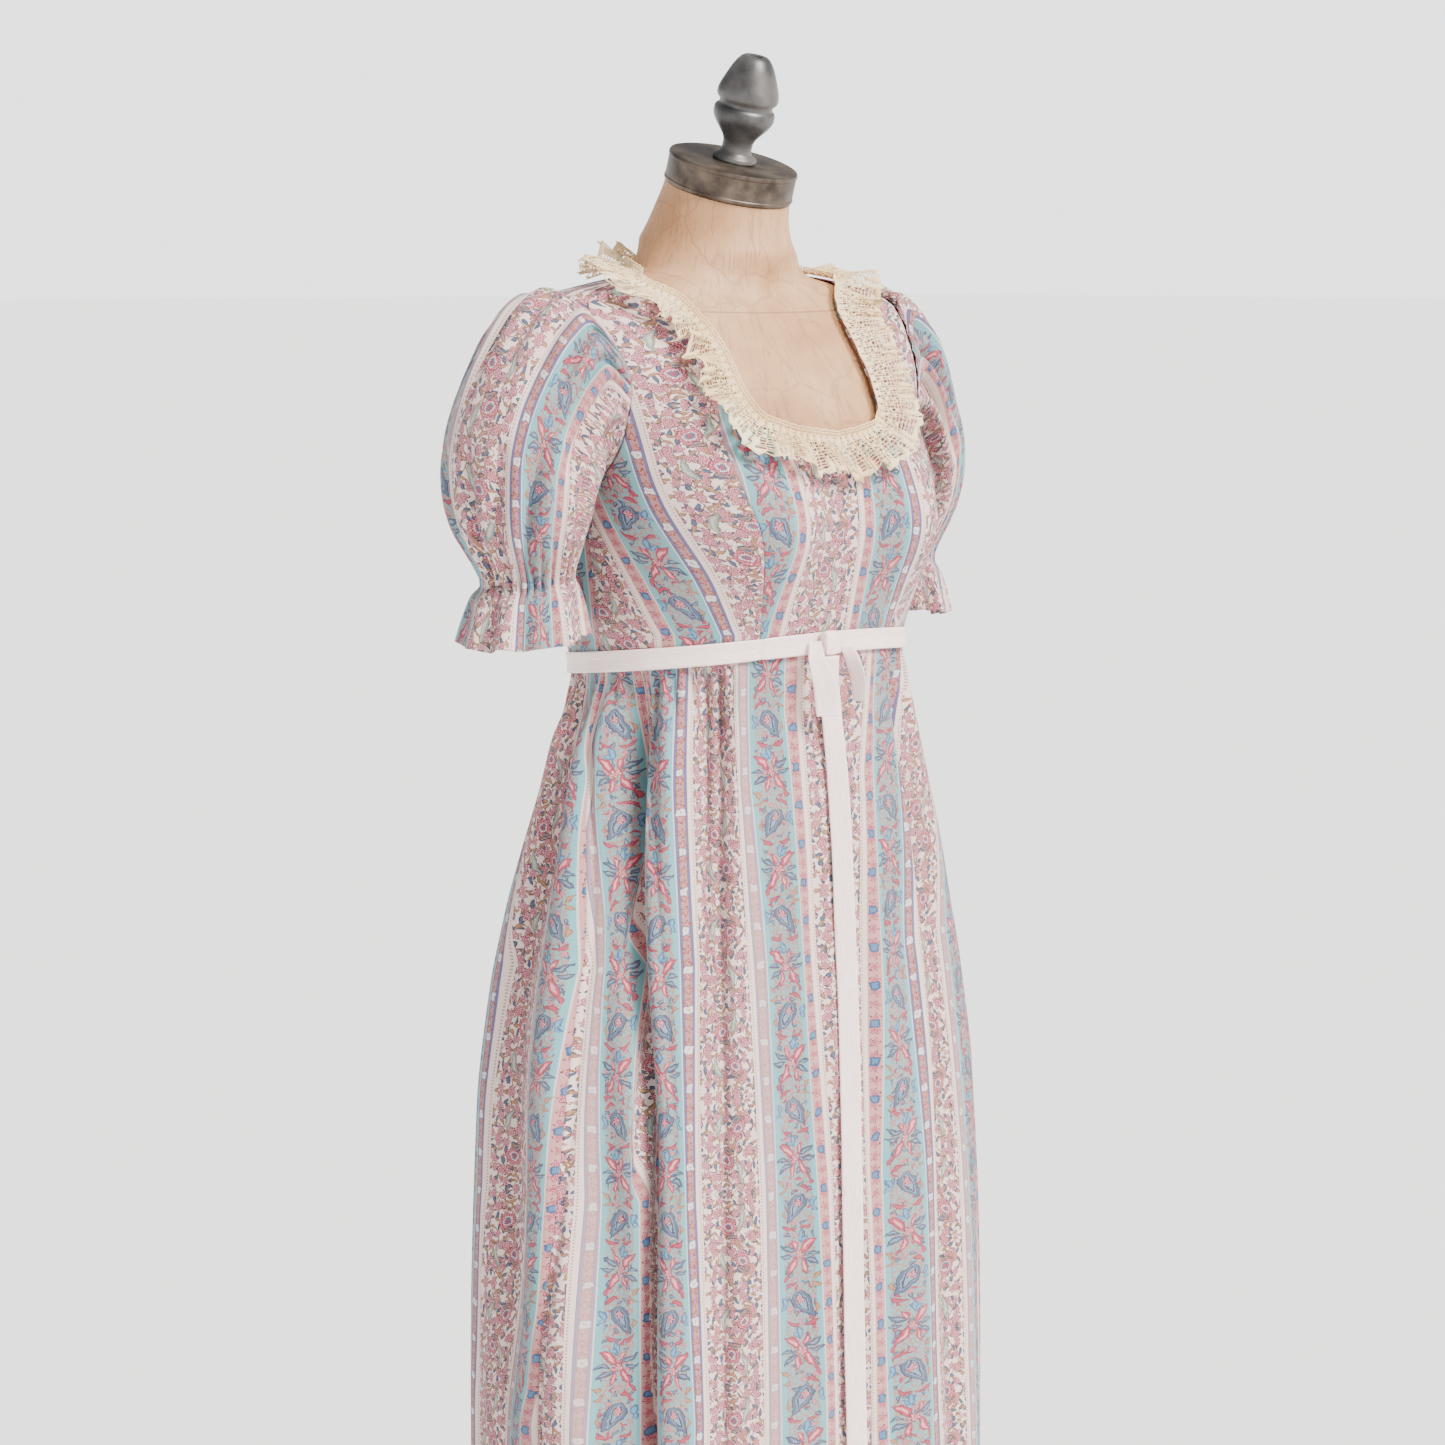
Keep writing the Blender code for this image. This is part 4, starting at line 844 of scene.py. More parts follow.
# The narrow borders: little flowers in a row, with a blue square or a daisy at each repeat
third = DAISY_MM / 3.0
by_third = add(tree, "Math", {0: loose.outputs[1], 1: third / 2.0}, operation="PINGPONG")
by_whole = add(tree, "Math", {0: loose.outputs[1], 1: DAISY_MM / 2.0}, operation="PINGPONG")
little = add(tree, "CombineXYZ", {0: loose_stripe, 1: by_third})
seldom = add(tree, "CombineXYZ", {0: loose_stripe, 1: by_whole})
for middle, near_rings, far_rings in (
    (PINK_MIDDLE,
     ((0.02, ROSE_DEEP), (0.22, CORAL_PALE), (0.42, CORAL), (0.74, CORAL_DEEP)),
     ((0.02, "#224870"), (0.35, "#446F96"))),
    (VIOLET_MIDDLE,
     ((0.02, CORAL_DEEP), (0.30, PEACH), (0.62, CORAL_PALE), (0.80, BLUE)),
     ((0.02, VIOLET), (0.16, "#D2CBC7"), (0.75, PEACH))),
):
    cloth = motifs(tree, cloth, little, "blossom",
                   (((middle, third / 2.0), (3.9, 3.8), 0.0, 0.0),), near_rings, lobe=0.26)
    cloth = motifs(tree, cloth, seldom, "blossom",
                   (((middle, 0.0), (4.0, 4.0), 45.0, 0.0),), far_rings, petals=4, lobe=0.10)
# One of the two borders beside a field is printed paler than the other
turnabout = add(tree, "Math", {0: straight.outputs[0], 1: 1.0 / REPEAT_MM}, operation="MULTIPLY")
turnabout = add(tree, "Math", {0: turnabout}, operation="FRACT")
turnabout = add(tree, "Math", {0: turnabout, 1: 0.5}, operation="LESS_THAN")
in_border = add(tree, "Math", {0: stripe, 1: VIOLET_MIDDLE, 2: VIOLET_HALF},
                operation="COMPARE")
pale = add(tree, "Math", {0: turnabout, 1: in_border}, operation="MULTIPLY")
pale = add(tree, "Math", {0: pale, 1: 0.40}, operation="MULTIPLY")
cloth = add(tree, "Mix", {0: pale, 6: cloth, 7: dye("#C8AEAA")}, out=2, data_type="RGBA")
# Ticked lines beside the cream
ticks = add(tree, "Math", {0: straight.outputs[1], 1: 0.40}, operation="MULTIPLY")
ticks = add(tree, "Math", {0: ticks}, operation="FRACT")
ticks = add(tree, "Math", {0: ticks, 1: 0.55}, operation="GREATER_THAN")
from_straight = add(tree, "Math", {0: straight.outputs[0], 1: half / 2.0}, operation="PINGPONG")
beside = add(tree, "Math", {0: from_straight, 1: TICKS_FROM_FIELD, 2: 0.5},
             operation="COMPARE")
ticked = add(tree, "Math", {0: ticks, 1: beside}, operation="MULTIPLY")
cloth = add(tree, "Mix", {0: ticked, 6: cloth, 7: dye("#99817B")}, out=2, data_type="RGBA")

# Washing has softened the colours unevenly, and the thread shows as a fine cross-hatch:
# it is drawn at 0.9 mm, some three threads wide, so that it shows at all
worn = add(tree, "TexNoise", {"Vector": cut_mm, "Scale": 0.03, "Detail": 3.0},
           noise_dimensions="2D")
worn = add(tree, "MapRange", {"Value": worn, "From Min": 0.3, "From Max": 0.7,
                              "To Min": 0.02, "To Max": 0.10})
cloth = add(tree, "Mix", {0: worn, 6: cloth, 7: dye("#B69D99")}, out=2, data_type="RGBA")
threads = add(tree, "VectorMath", {0: cut_mm, 1: (HATCH_TURN, HATCH_TURN, 0.0)},
              operation="MULTIPLY")
threads = add(tree, "VectorMath", {0: threads}, operation="SINE")
threads = add(tree, "SeparateXYZ", {"Vector": threads}).node
weave = add(tree, "Math", {0: threads.outputs[0], 1: threads.outputs[1]}, operation="ADD")
crease = add(tree, "TexNoise", {"Vector": cut_mm, "Scale": 0.05, "Detail": 4.0,
                                "Roughness": 0.6}, noise_dimensions="2D")
height = add(tree, "Math", {0: crease, 1: 14.0, 2: weave}, operation="MULTIPLY_ADD")
relief = add(tree, "Bump", {"Height": height, "Strength": 0.6, "Distance": 0.14 * MM})
feed(lawn, {"Base Color": cloth, "Normal": relief, "Roughness": 0.85, "Sheen Weight": 0.08,
            "Sheen Roughness": 0.5})

# Each sheet's flat size and area, in metres, are the cut of what shows; a shaped panel gives
# its own area, since it is no rectangle
for name, turns, print_at, columns, rows, flat, area in (
    ("bodice_front_centre", centre_front_turns, front_print, 120, 110,
     (0.27, 0.17), 0.034),
    ("bodice_front_side_right", lambda a, u: side_panel_turns(a, u, -1.0, True),
     side_print(-1.0), 100, 200, (0.17, 0.32), 0.034),
    ("bodice_front_side_left", lambda a, u: side_panel_turns(a, u, 1.0, True),
     side_print(1.0), 100, 200, (0.17, 0.32), 0.034),
    ("bodice_back_right", lambda a, u: side_panel_turns(a, u, -1.0, False), back_print, 110, 200,
     (0.22, 0.32), 0.060),
    ("bodice_back_left", lambda a, u: side_panel_turns(a, u, 1.0, False), back_print, 110, 200,
     (0.22, 0.32), 0.060),
):
    panel = bodice_panel(name.replace("bodice", "bodice_cloth"), turns, print_at, columns, rows)
    settle(panel, print_cloth, name)


# The sleeves: short puffs gathered into the armhole and again over elastic, with a flounce.
# Outer x, outer z, inner x, inner z, middle y, half depth
SLEEVE_ROWS = (
    (0.175, 1.3995, 0.1595, 1.2545, 0.018, 0.0665),
    (0.199, 1.3890, 0.1605, 1.2500, 0.014, 0.0640),
    (0.223, 1.3650, 0.1605, 1.2455, 0.010, 0.0610),
    (0.245, 1.3300, 0.1615, 1.2400, 0.010, 0.0605),
    (0.2590, 1.2920, 0.1620, 1.2330, 0.010, 0.0605),
    (0.2600, 1.2560, 0.1620, 1.2240, 0.010, 0.0580),
    (0.2530, 1.2230, 0.1635, 1.2130, 0.010, 0.0500),
    (0.2335, 1.1850, 0.1680, 1.1930, 0.010, 0.0345),
    (0.2415, 1.1690, 0.1640, 1.1780, 0.010, 0.0400),
    (0.2500, 1.1370, 0.1600, 1.1460, 0.010, 0.0470),
)
# Side, its sign, how far the puff reaches out, and the back panel that carries it
SLEEVES = (
    ("right", -1.0, 1.00, "bodice_cloth_back_right"),
    ("left", 1.0, 0.74, "bodice_cloth_back_left"),
)
# How far the gathered head stands off the armhole's edge
HEAD_STAND = 1.5 * MM


def sleeve_ring(row, angle, side, reach):
    """Points round one ring of a sleeve."""
    outer_x, outer_z, inner_x, inner_z, middle, half_depth = row
    body = SLEEVE_ROWS[0][2]
    outer = np.array((body + (outer_x - body) * reach, middle, outer_z))
    inner = np.array((inner_x, middle, inner_z))
    centre = 0.5 * (outer + inner)
    spoke = outer - centre
    depth = half_depth * (0.5 + 0.5 * reach)
    points = centre + np.cos(angle)[:, None] * spoke
    points[:, 1] += depth * np.sin(angle)
    points[:, 0] *= side
    return points


# Folds of a sleeve: degrees at the top and at the foot, start, end, depth in mm, half width
SLEEVE_FOLDS = (
    (-150.0, -140.0, 0.05, 0.60, -3.0, 9.0),
    (-118.0, -108.0, 0.02, 0.70, -5.5, 8.0),
    (-92.0, -88.0, 0.02, 0.50, -4.5, 6.0),
    (-72.0, -76.0, 0.02, 0.42, -3.5, 5.0),
    (-52.0, -60.0, 0.02, 0.34, -3.0, 5.0),
    (-64.0, -52.0, 0.42, 0.80, -4.0, 6.0),
    (-34.0, -40.0, 0.02, 0.40, -2.6, 5.0),
    (-34.0, -28.0, 0.48, 0.80, -3.6, 6.0),
    (-12.0, -16.0, 0.02, 0.36, -2.8, 5.0),
    (-6.0, -4.0, 0.50, 0.80, -3.0, 5.0),
    (10.0, 8.0, 0.02, 0.44, -3.0, 5.0),
    (28.0, 22.0, 0.50, 0.80, -3.6, 6.0),
    (38.0, 34.0, 0.02, 0.36, -3.2, 6.0),
    (62.0, 60.0, 0.02, 0.50, -4.0, 6.0),
    (58.0, 50.0, 0.52, 0.80, -3.4, 6.0),
    (90.0, 86.0, 0.02, 0.60, -4.5, 7.0),
    (120.0, 112.0, 0.02, 0.70, -5.0, 8.0),
    (150.0, 140.0, 0.05, 0.60, -3.0, 9.0),
)
ELASTIC_SHARE = 0.798
FLOUNCE_HEM_SHARE = 0.955
# The print round a sleeve: where a border's middle lies, metres in a degree, and its length
BORDER_DEGREES = -45.0
SLEEVE_DEGREE = 1.18 * MM
SLEEVE_LONG = 0.30


def turn_from(turn, middle):
    """Degrees from a middle to a turn, the short way round."""
    return (turn - middle + 180.0) % 360.0 - 180.0


def sleeve_crease(angle, up):
    """How far the sleeve's cloth stands out, in metres: gathers, folds, elastic and flounce."""
    degrees = np.degrees(angle)
    total = np.zeros_like(angle)
    for at_top, at_foot, start, end, depth, spread in SLEEVE_FOLDS:
        share = np.clip((up - start) / (end - start), 0.0, 1.0)
        middle = at_top + (at_foot - at_top) * share
        away = turn_from(degrees, middle)
        fade = np.sin(math.pi * np.clip(share, 0.0, 1.0)) ** 0.7
        total += 2.1 * depth * MM * fade * np.exp(-(np.abs(away) / spread) ** 1.6)
        total -= 0.7 * depth * MM * fade * np.exp(-((np.abs(away) - 1.7 * spread) / spread) ** 2)
    # Small gathers under the armhole seam, most of them over the shoulder
    crown = ease((np.cos(angle) + 0.55) / 0.9)
    wander = 1.6 * np.sin(3.0 * angle + 0.7) + 1.1 * np.sin(5.0 * angle)
    pinch = np.abs(np.sin(0.5 * (34.0 * angle + wander))) ** 0.7
    total += 4.2 * MM * crown * (pinch - 0.62) * np.exp(-(((up - 0.075) / 0.065) ** 2))
    # Elastic: deep pinched gathers that run out above and below it
    wander = 2.1 * np.sin(2.0 * angle + 1.7) + 1.3 * np.sin(7.0 * angle)
    pinch = np.abs(np.sin(0.5 * (30.0 * angle + wander))) ** 0.6
    above = np.exp(-((np.minimum(up - ELASTIC_SHARE, 0.0) / 0.085) ** 2))
    below = np.exp(-((np.maximum(up - ELASTIC_SHARE, 0.0) / 0.070) ** 2))
    total += 6.0 * MM * (pinch - 0.66) * above * below
    # The flounce ripples towards its edge
    free = ease((up - ELASTIC_SHARE) / (1.0 - ELASTIC_SHARE))
    ripple = np.sin(7.0 * angle + 1.4 * np.sin(2.0 * angle)) + 0.5 * np.sin(12.0 * angle + 2.0)
    total += 4.6 * MM * free * ripple
    return total


def sleeve_cloth(side_name, side, reach):
    """A sleeve's surface through smooth rings, from the armhole to the flounce's edge."""
    def armhole_ring(angle):
        """The armhole's edge; the angle is nought at the shoulder and rises to the back."""
        share = np.abs(1.0 - (angle / math.pi) % 2.0)
        front = (angle / math.pi) % 2.0 > 1.0
        ahead, behind, height = np.moveaxis(read_rows(ARMHOLE, share), -1, 0)
        turn = side * np.where(front, ahead, behind)
        return on_bodice(turn, height, HEAD_STAND)

    ring_shares = np.concatenate(([0.0], np.linspace(0.09, 1.0, len(SLEEVE_ROWS))))

    def place(across, up):
        angle = math.tau * across
        rings = [armhole_ring(angle)]
        rings += [sleeve_ring(row, angle, side, reach) for row in SLEEVE_ROWS]
        rings = np.stack(rings)
        at = np.clip(np.searchsorted(ring_shares, up, side="right") - 1, 0, len(ring_shares) - 2)
        t = ((up - ring_shares[at]) / (ring_shares[at + 1] - ring_shares[at]))[:, None]
        number = np.arange(len(up))
        p0 = rings[np.maximum(at - 1, 0), number]
        p1 = rings[at, number]
        p2 = rings[at + 1, number]
        p3 = rings[np.minimum(at + 2, len(ring_shares) - 1), number]
        points = 0.5 * (2 * p1 + (p2 - p0) * t + (2 * p0 - 5 * p1 + 4 * p2 - p3) * t**2
                        + (3 * p1 - p0 - 3 * p2 + p3) * t**3)
        outward = np.stack((side * np.cos(angle), np.sin(angle), 0.35 * np.cos(angle)), axis=-1)
        outward /= np.linalg.norm(outward, axis=1, keepdims=True)
        return points + outward * sleeve_crease(angle, up)[:, None]

    def print_at(across, up):
        degrees = turn_from(360.0 * across, 0.0)
        across_cloth = BORDER_START - (degrees - BORDER_DEGREES) * SLEEVE_DEGREE
        return np.stack((across_cloth, SLEEVE_LONG * (1.0 - up)), axis=-1)

    obj = fine_sheet("sleeve_cloth_" + side_name, 288, 160, place, print_at, closed=True)
    thicken(obj, THIN_COTTON)
    return obj, place


# Sewing thread: soft spun cotton, a shade deeper than the cloth's cream
thread, tree, spun = new_finish("cotton_sewing_thread")
place = add(tree, "TexCoord", out=3)
spun_tone = add(tree, "TexNoise", {"Vector": place, "Scale": 900.0, "Detail": 2.0})
spun_tones = add(tree, "ValToRGB", {"Fac": spun_tone})
set_stops(spun_tones, (0.0, dye("#A98F8B")), (1.0, dye("#CBB3AD")))
feed(spun, {"Base Color": spun_tones, "Roughness": 0.8})
# Drawn at 4 mm and half a millimetre thick, about twice its real size, so that it shows
STITCH_MM = 4.0
STITCH_HALF = 0.27 * MM
# From the middle of the cloth to the middle of the thread
STITCH_LIFT = 0.45 * MM


def stitch_row(name, line):
    """Machine stitches along a line of points: a slim capsule of thread for each."""
    lengths = np.concatenate(([0.0], np.cumsum(np.linalg.norm(np.diff(line, axis=0), axis=1))))
    count = int(lengths[-1] / (STITCH_MM * MM))
    bm = bmesh.new()
    for number in range(count):
        ends = [Vector([np.interp(share * STITCH_MM * MM, lengths, line[:, axis])
                        for axis in range(3)]) for share in (number + 0.12, number + 0.88)]
        along = ends[1] - ends[0]
        size = Matrix.Diagonal((along.length / 2.0, STITCH_HALF, STITCH_HALF, 1.0))
        turned = along.to_track_quat("X", "Z").to_matrix().to_4x4()
        middle = Matrix.Translation((ends[0] + ends[1]) / 2.0)
        bmesh.ops.create_icosphere(bm, subdivisions=1, radius=1.0, matrix=middle @ turned @ size)
    settle(add_piece(bm, name), thread)


shares_round = np.linspace(0.0, 1.0, 721)
for side_name, side, reach, carrier in SLEEVES:
    sleeve, on_sleeve = sleeve_cloth(side_name, side, reach)
    settle(sleeve, print_cloth, "sleeve_" + side_name)
    for row_name, up in (("elastic", ELASTIC_SHARE), ("flounce_hem", FLOUNCE_HEM_SHARE)):
        line = on_sleeve(shares_round, np.full_like(shares_round, up))
        middle = line.mean(axis=0)
        outward = line - middle
        outward /= np.linalg.norm(outward, axis=1, keepdims=True)
        stitch_row("stitches_%s_%s" % (row_name, side_name), line + outward * STITCH_LIFT)


# The skirt: two gathered panels of the same cotton, sewn to the bodice at the raised waist
# and falling to the floor in soft folds.
HEM_HEIGHT = 0.060
# Up the skirt: height, half width, front and back distance from the axis
SKIRT_ROWS = (
    (0.060, 0.236, 0.151, 0.174),
    (0.489, 0.228, 0.1395, 0.155),
    (0.647, 0.227, 0.133, 0.146),
    (0.783, 0.223, 0.1255, 0.138),
    (0.870, 0.210, 0.120, 0.130),
    (0.926, 0.195, 0.116, 0.125),
    (0.965, 0.184, 0.114, 0.117),
    (1.010, 0.171, 0.111, 0.110),
    (1.050, 0.159, 0.1075, 0.104),
    (1.098, 0.143, 0.1045, 0.103),
    (1.150, 0.139, 0.106, 0.105),
)
SKIRT_POWER = 2.2
# The cloth's folds are a little sharper and deeper than its plain solid's
FOLD_GAIN = 1.6
# The turn of the other side seam
SKIRT_SEAM = 80.0
KNEE_SHARE = 0.45
# How far below the waist the skirt hangs free, and its main folds are whole
WAIST_BLEND = 0.060
FOLD_START = 0.050
# The least distance of the cloth from the form
FORM_CLEAR = 1.6 * MM
# Turn at waist, turn at hem, half spread in degrees, depth in mm at waist, knee and hem
FOLDS = (
    (-49.0, -47.0, 3.6, -4.0, -3.0, 0.0),
    (-56.0, -53.0, 3.2, -3.0, -1.0, 0.0),
    (-64.5, -56.0, 6.0, 4.0, 4.0, 4.0),
    (-75.0, -61.0, 4.2, -6.0, -10.0, -11.0),
    (-85.0, -71.0, 6.0, 4.0, 4.0, 5.0),
    (-95.0, -84.0, 4.5, -5.0, -5.0, -4.0),
    (-105.0, -98.0, 6.5, 4.0, 5.0, 5.0),
    (-118.0, -113.0, 5.5, -5.0, -6.0, -7.0),
    (-133.0, -129.0, 7.0, 4.0, 5.0, 6.0),
    (-148.0, -146.0, 5.5, -5.0, -7.0, -8.0),
    (-164.0, -163.0, 7.0, 4.0, 5.0, 6.0),
    (180.0, 180.0, 5.5, -4.0, -6.0, -7.0),
    (3.0, 2.0, 7.0, 0.0, -2.0, -5.0),
    (29.0, 31.0, 10.0, 0.0, 3.0, 5.0),
    (47.0, 46.0, 3.6, -4.0, -3.0, -1.0),
    (57.0, 54.0, 6.0, 4.0, 5.0, 5.0),
    (68.0, 63.0, 4.5, -6.0, -8.0, -8.0),
    (80.0, 74.0, 6.0, 4.0, 4.0, 5.0),
    (94.0, 86.0, 4.5, -5.0, -5.0, -4.0),
    (107.0, 101.0, 6.5, 4.0, 5.0, 6.0),
    (121.0, 117.0, 5.5, -5.0, -7.0, -8.0),
    (137.0, 133.0, 7.0, 4.0, 5.0, 6.0),
    (151.0, 149.0, 5.5, -5.0, -6.0, -7.0),
    (166.0, 165.0, 7.0, 4.0, 5.0, 6.0),
)


def fold_depth(turn, share):
    """Depth of the skirt's main folds, a share of the way from waist to hem."""
    total = np.zeros_like(turn)
    for at_waist, at_hem, spread, waist_mm, knee_mm, hem_mm in FOLDS:
        middle = at_waist + (at_hem - at_waist) * ease(share)
        away = turn_from(turn, middle)
        upper = waist_mm + (knee_mm - waist_mm) * ease(share / KNEE_SHARE)
        lower = knee_mm + (hem_mm - knee_mm) * ease((share - KNEE_SHARE) / (1.0 - KNEE_SHARE))
        depth = np.where(share < KNEE_SHARE, upper, lower)
        hump = 0.5 * (1.0 + np.cos(math.pi * away / (2.0 * spread)))
        total += np.where(np.abs(away) < 2.0 * spread, depth * MM * hump, 0.0)
    return total


# Gathers on the side seen in the photograph: turn at the waist, turn where it dies away,
# depth in mm, half width in degrees, length in metres
GATHERS = (
    (-44.5, -43.0, 2.2, 1.6, 0.060),
    (-48.5, -47.5, 3.4, 1.8, 0.120),
    (-53.0, -51.5, 4.2, 1.9, 0.330),
    (-58.0, -56.0, 3.0, 1.7, 0.080),
    (-63.0, -59.5, 3.6, 1.8, 0.110),
    (-68.5, -63.5, 4.6, 1.9, 0.240),
    (-73.5, -66.0, 4.8, 2.0, 0.400),
    (-78.5, -72.0, 3.6, 1.8, 0.160),
    (-83.5, -77.0, 3.0, 1.8, 0.100),
    (-88.0, -82.0, 3.2, 1.8, 0.130),
)


def gather_rows():
    """The seen gathers, then uneven ones like them round the rest of the waist."""
    rows = list(GATHERS)
    turn = 42.0
    number = 0
    while turn < 268.0:
        wave = math.sin(number * 2.4) * 0.5 + math.sin(number * 1.13) * 0.5
        depth = 3.4 + 1.1 * wave
        length = 0.11 + 0.09 * math.sin(number * 1.7 + 0.6) ** 2 * (2.0 + wave)
        rows.append((turn, turn + 1.2 * wave, depth, 1.8 + 0.25 * wave, length))
        turn += 5.2 + 0.9 * math.sin(number * 3.1)
        number += 1
    return rows


def gathers(turn, drop):
    """Uneven pinched gathers under the waist seam, rounded out between their valleys."""
    total = np.zeros_like(turn)
    for at_waist, at_end, depth, spread, length in gather_rows():
        middle = at_waist + (at_end - at_waist) * ease(drop / length)
        away = turn_from(turn, middle)
        wide = spread * (0.85 + 0.9 * np.clip(drop / length, 0.0, 1.0))
        fade = ease(1.0 - drop / length) * (0.55 + 0.45 * ease(drop / 0.016))
        total -= depth * MM * fade * np.exp(-(np.abs(away) / wide) ** 1.5)
    side = ease((np.abs(turn_from(turn, 0.0)) - 38.0) / 5.0)
    # Below the ribbon the gathered cloth springs out
    sprung = ease((drop - 0.007) / 0.020)
    lifted = (1.6 + 4.2 * sprung) * MM * np.exp(-np.maximum(drop - 0.03, 0.0) / 0.09)
    return total * ease((drop + 0.004) / 0.012) * (1.0 + 1.9 * sprung) + side * lifted


# Sharp creases in the skirt's main folds: turn at the waist and at the hem, depth in mm, half
# width in degrees, and the shares of the height where each starts and ends
CREASES = (
    (-73.4, -63.0, 31.0, 2.3, 0.00, 1.0),
    (-99.0, -92.0, 4.0, 2.4, 0.02, 1.0),
    (-66.5, -57.0, 3.4, 1.3, 0.00, 0.5),
    (-48.5, -46.0, 4.2, 1.5, 0.00, 0.9),
    (-57.0, -52.5, 3.2, 1.3, 0.00, 0.5),
    (3.0, 2.0, 4.5, 1.4, 0.05, 1.0),
    (47.0, 46.0, 4.0, 1.5, 0.02, 0.8),
    (68.0, 63.0, 9.0, 1.6, 0.02, 1.0),
    (94.0, 86.0, 6.0, 1.6, 0.02, 1.0),
    (121.0, 117.0, 7.0, 1.6, 0.02, 1.0),
    (151.0, 149.0, 6.0, 1.6, 0.02, 1.0),
    (180.0, 180.0, 5.0, 1.6, 0.02, 1.0),
    (-148.0, -146.0, 6.5, 1.6, 0.02, 1.0),
    (-118.0, -110.0, 7.0, 1.6, 0.02, 1.0),
)


# The side seam on the side seen in the photograph: height, turn. The cloth behind it folds
# a little over the front panel.
SEAM_LINE = (
    (0.060, -86.0),
    (0.560, -84.3),
    (0.640, -81.6),
    (0.720, -79.1),
    (0.800, -78.4),
    (0.900, -78.6),
    (0.980, -80.8),
    (1.035, -84.0),
    (1.100, -88.5),
    (1.160, -89.0),
)


def seam_turn(height):
    """Where that side seam runs."""
    return read_rows(SEAM_LINE, height)[..., 0]


def creases(turn, share, height):
    """The sharp middles of the main folds, and the fold along the side seam."""
    away = turn_from(turn, seam_turn(height))
    total = -7.0 * MM * np.exp(-(np.abs(away - 0.8) / 1.3) ** 1.5)
    total += 4.5 * MM * np.exp(-(((away + 4.5) / 3.2) ** 2))
    total *= ease(share / 0.08)
    for at_waist, at_hem, depth, spread, start, end in CREASES:
        middle = at_waist + (at_hem - at_waist) * ease(share / 0.38)
        away = turn_from(turn, middle)
        fade = ease((share - start) / 0.06 + 0.01) * ease((end - share) / 0.25 + (end >= 1.0))
        total -= depth * MM * fade * np.exp(-(np.abs(away) / spread) ** 1.5)
    return total


def sway(turn, drop):
    """Slow soft unevenness of the hanging cloth."""
    angle = np.radians(turn)
    wave = np.sin(angle * 13.0 + 9.0 * drop) * np.sin(drop * 5.0 + angle * 3.0)
    wave += 0.6 * np.sin(angle * 23.0 - 7.0 * drop + 2.0 * np.sin(angle * 5.0))
    return wave * 2.0 * MM * ease(drop / 0.25)


def skirt_reach(turn, height):
    """The skirt's distance from the axis, before its folds and gathers."""
    top = waist_line(turn)
    half, front, back = np.moveaxis(read_rows(SKIRT_ROWS, height), -1, 0)
    hanging = oval_reach(turn, half, front, back, SKIRT_POWER)
    sewn = np.linalg.norm(on_bodice(turn, top)[..., :2], axis=-1)
    return sewn + (hanging - sewn) * ease((top - height) / WAIST_BLEND)


def on_skirt(turn, height, lift=0.0):
    """Points in the middle of the skirt's cloth."""
    top = waist_line(turn)
    drop = np.maximum(0.0, top - height)
    share = drop / (top - HEM_HEIGHT)
    depth = FOLD_GAIN * fold_depth(turn, share) * ease(drop / FOLD_START)
    depth = depth + gathers(turn, drop) + creases(turn, share, height) + sway(turn, drop)
    # The deepest folds stop at the papered form
    bare = np.linalg.norm(form_skin(turn, np.maximum(height, FORM_ROWS[0][0]))[..., :2], axis=-1)
    reach = np.maximum(skirt_reach(turn, height) + depth, bare + FORM_CLEAR) + lift
    angle = np.radians(turn)
    return np.stack((reach * np.sin(angle), -reach * np.cos(angle), height), axis=-1)


# Where the print lies round the skirt, read off the photograph: millimetres across the cloth,
# then the turn at each of five heights. Much of the cloth hides in the folds.
PRINT_HEIGHTS = (0.56, 0.73, 0.90, 1.035, 1.09)
FRONT_PRINT = (
    (359, -84.3, -83.3, -85.4, -93.0, -98.0),
    (326, -75.9, -74.8, -76.3, -82.8, -87.5),
    (316, -73.4, -72.7, -74.8, -81.3, -86.0),
    (283, -65.4, -65.3, -67.8, -73.5, -77.0),
    (274, -63.2, -64.0, -66.8, -71.8, -74.4),
    (206, -62.4, -63.7, -66.5, -71.3, -73.6),
    (197, -60.3, -62.4, -65.6, -69.7, -71.0),
    (164, -52.5, -54.8, -57.3, -60.6, -62.0),
    (154, -50.7, -52.9, -54.4, -57.6, -58.5),
    (91, -35.0, -36.1, -39.2, -42.2, -43.4),
    (86, -33.6, -34.2, -37.3, -41.5, -42.1),
    (76, -29.8, -30.7, -32.9, -38.1, -38.5),
    (43, -13.6, -15.1, -18.3, -21.4, -23.6),
    (34, -9.8, -10.9, -14.7, -16.9, -18.0),
    (8, 1.0, 1.0, 0.6, -0.5, -2.0),
    (-14, 2.4, 3.0, 4.0, 6.5, 11.6),
    (-34, 9.2, 9.8, 14.4, 17.4, 24.0),
    (-43, 14.0, 14.8, 19.3, 22.8, 26.7),
    (-76, 32.4, 34.2, 32.4, 39.0, 46.9),
    (-86, 37.5, 39.1, 37.5, 46.6, 50.6),
    (-91, 39.5, 42.0, 40.5, 48.9, 55.1),
    (-200, 59.0, 60.0, 61.0, 65.0, 66.0),
    (-316, 80.0, 80.0, 80.0, 80.0, 80.0),
)
BACK_PRINT = (
    (1230, -280.0, -280.0, -280.0, -280.0, -280.0),
    (942, -180.0, -180.0, -180.0, -180.0, -180.0),
    (644, -104.7, -101.2, -104.4, -111.5, -114.0),
    (634, -102.0, -99.2, -101.2, -107.0, -110.0),
    (629, -99.6, -97.4, -97.8, -103.8, -107.0),
    (571, -93.3, -86.6, -88.3, -96.4, -99.5),
    (556, -92.4, -85.6, -87.2, -93.6, -96.5),
    (523, -88.5, -80.4, -78.7, -84.0, -90.0),
    (510, -84.3, -76.8, -74.6, -80.0, -86.0),
)


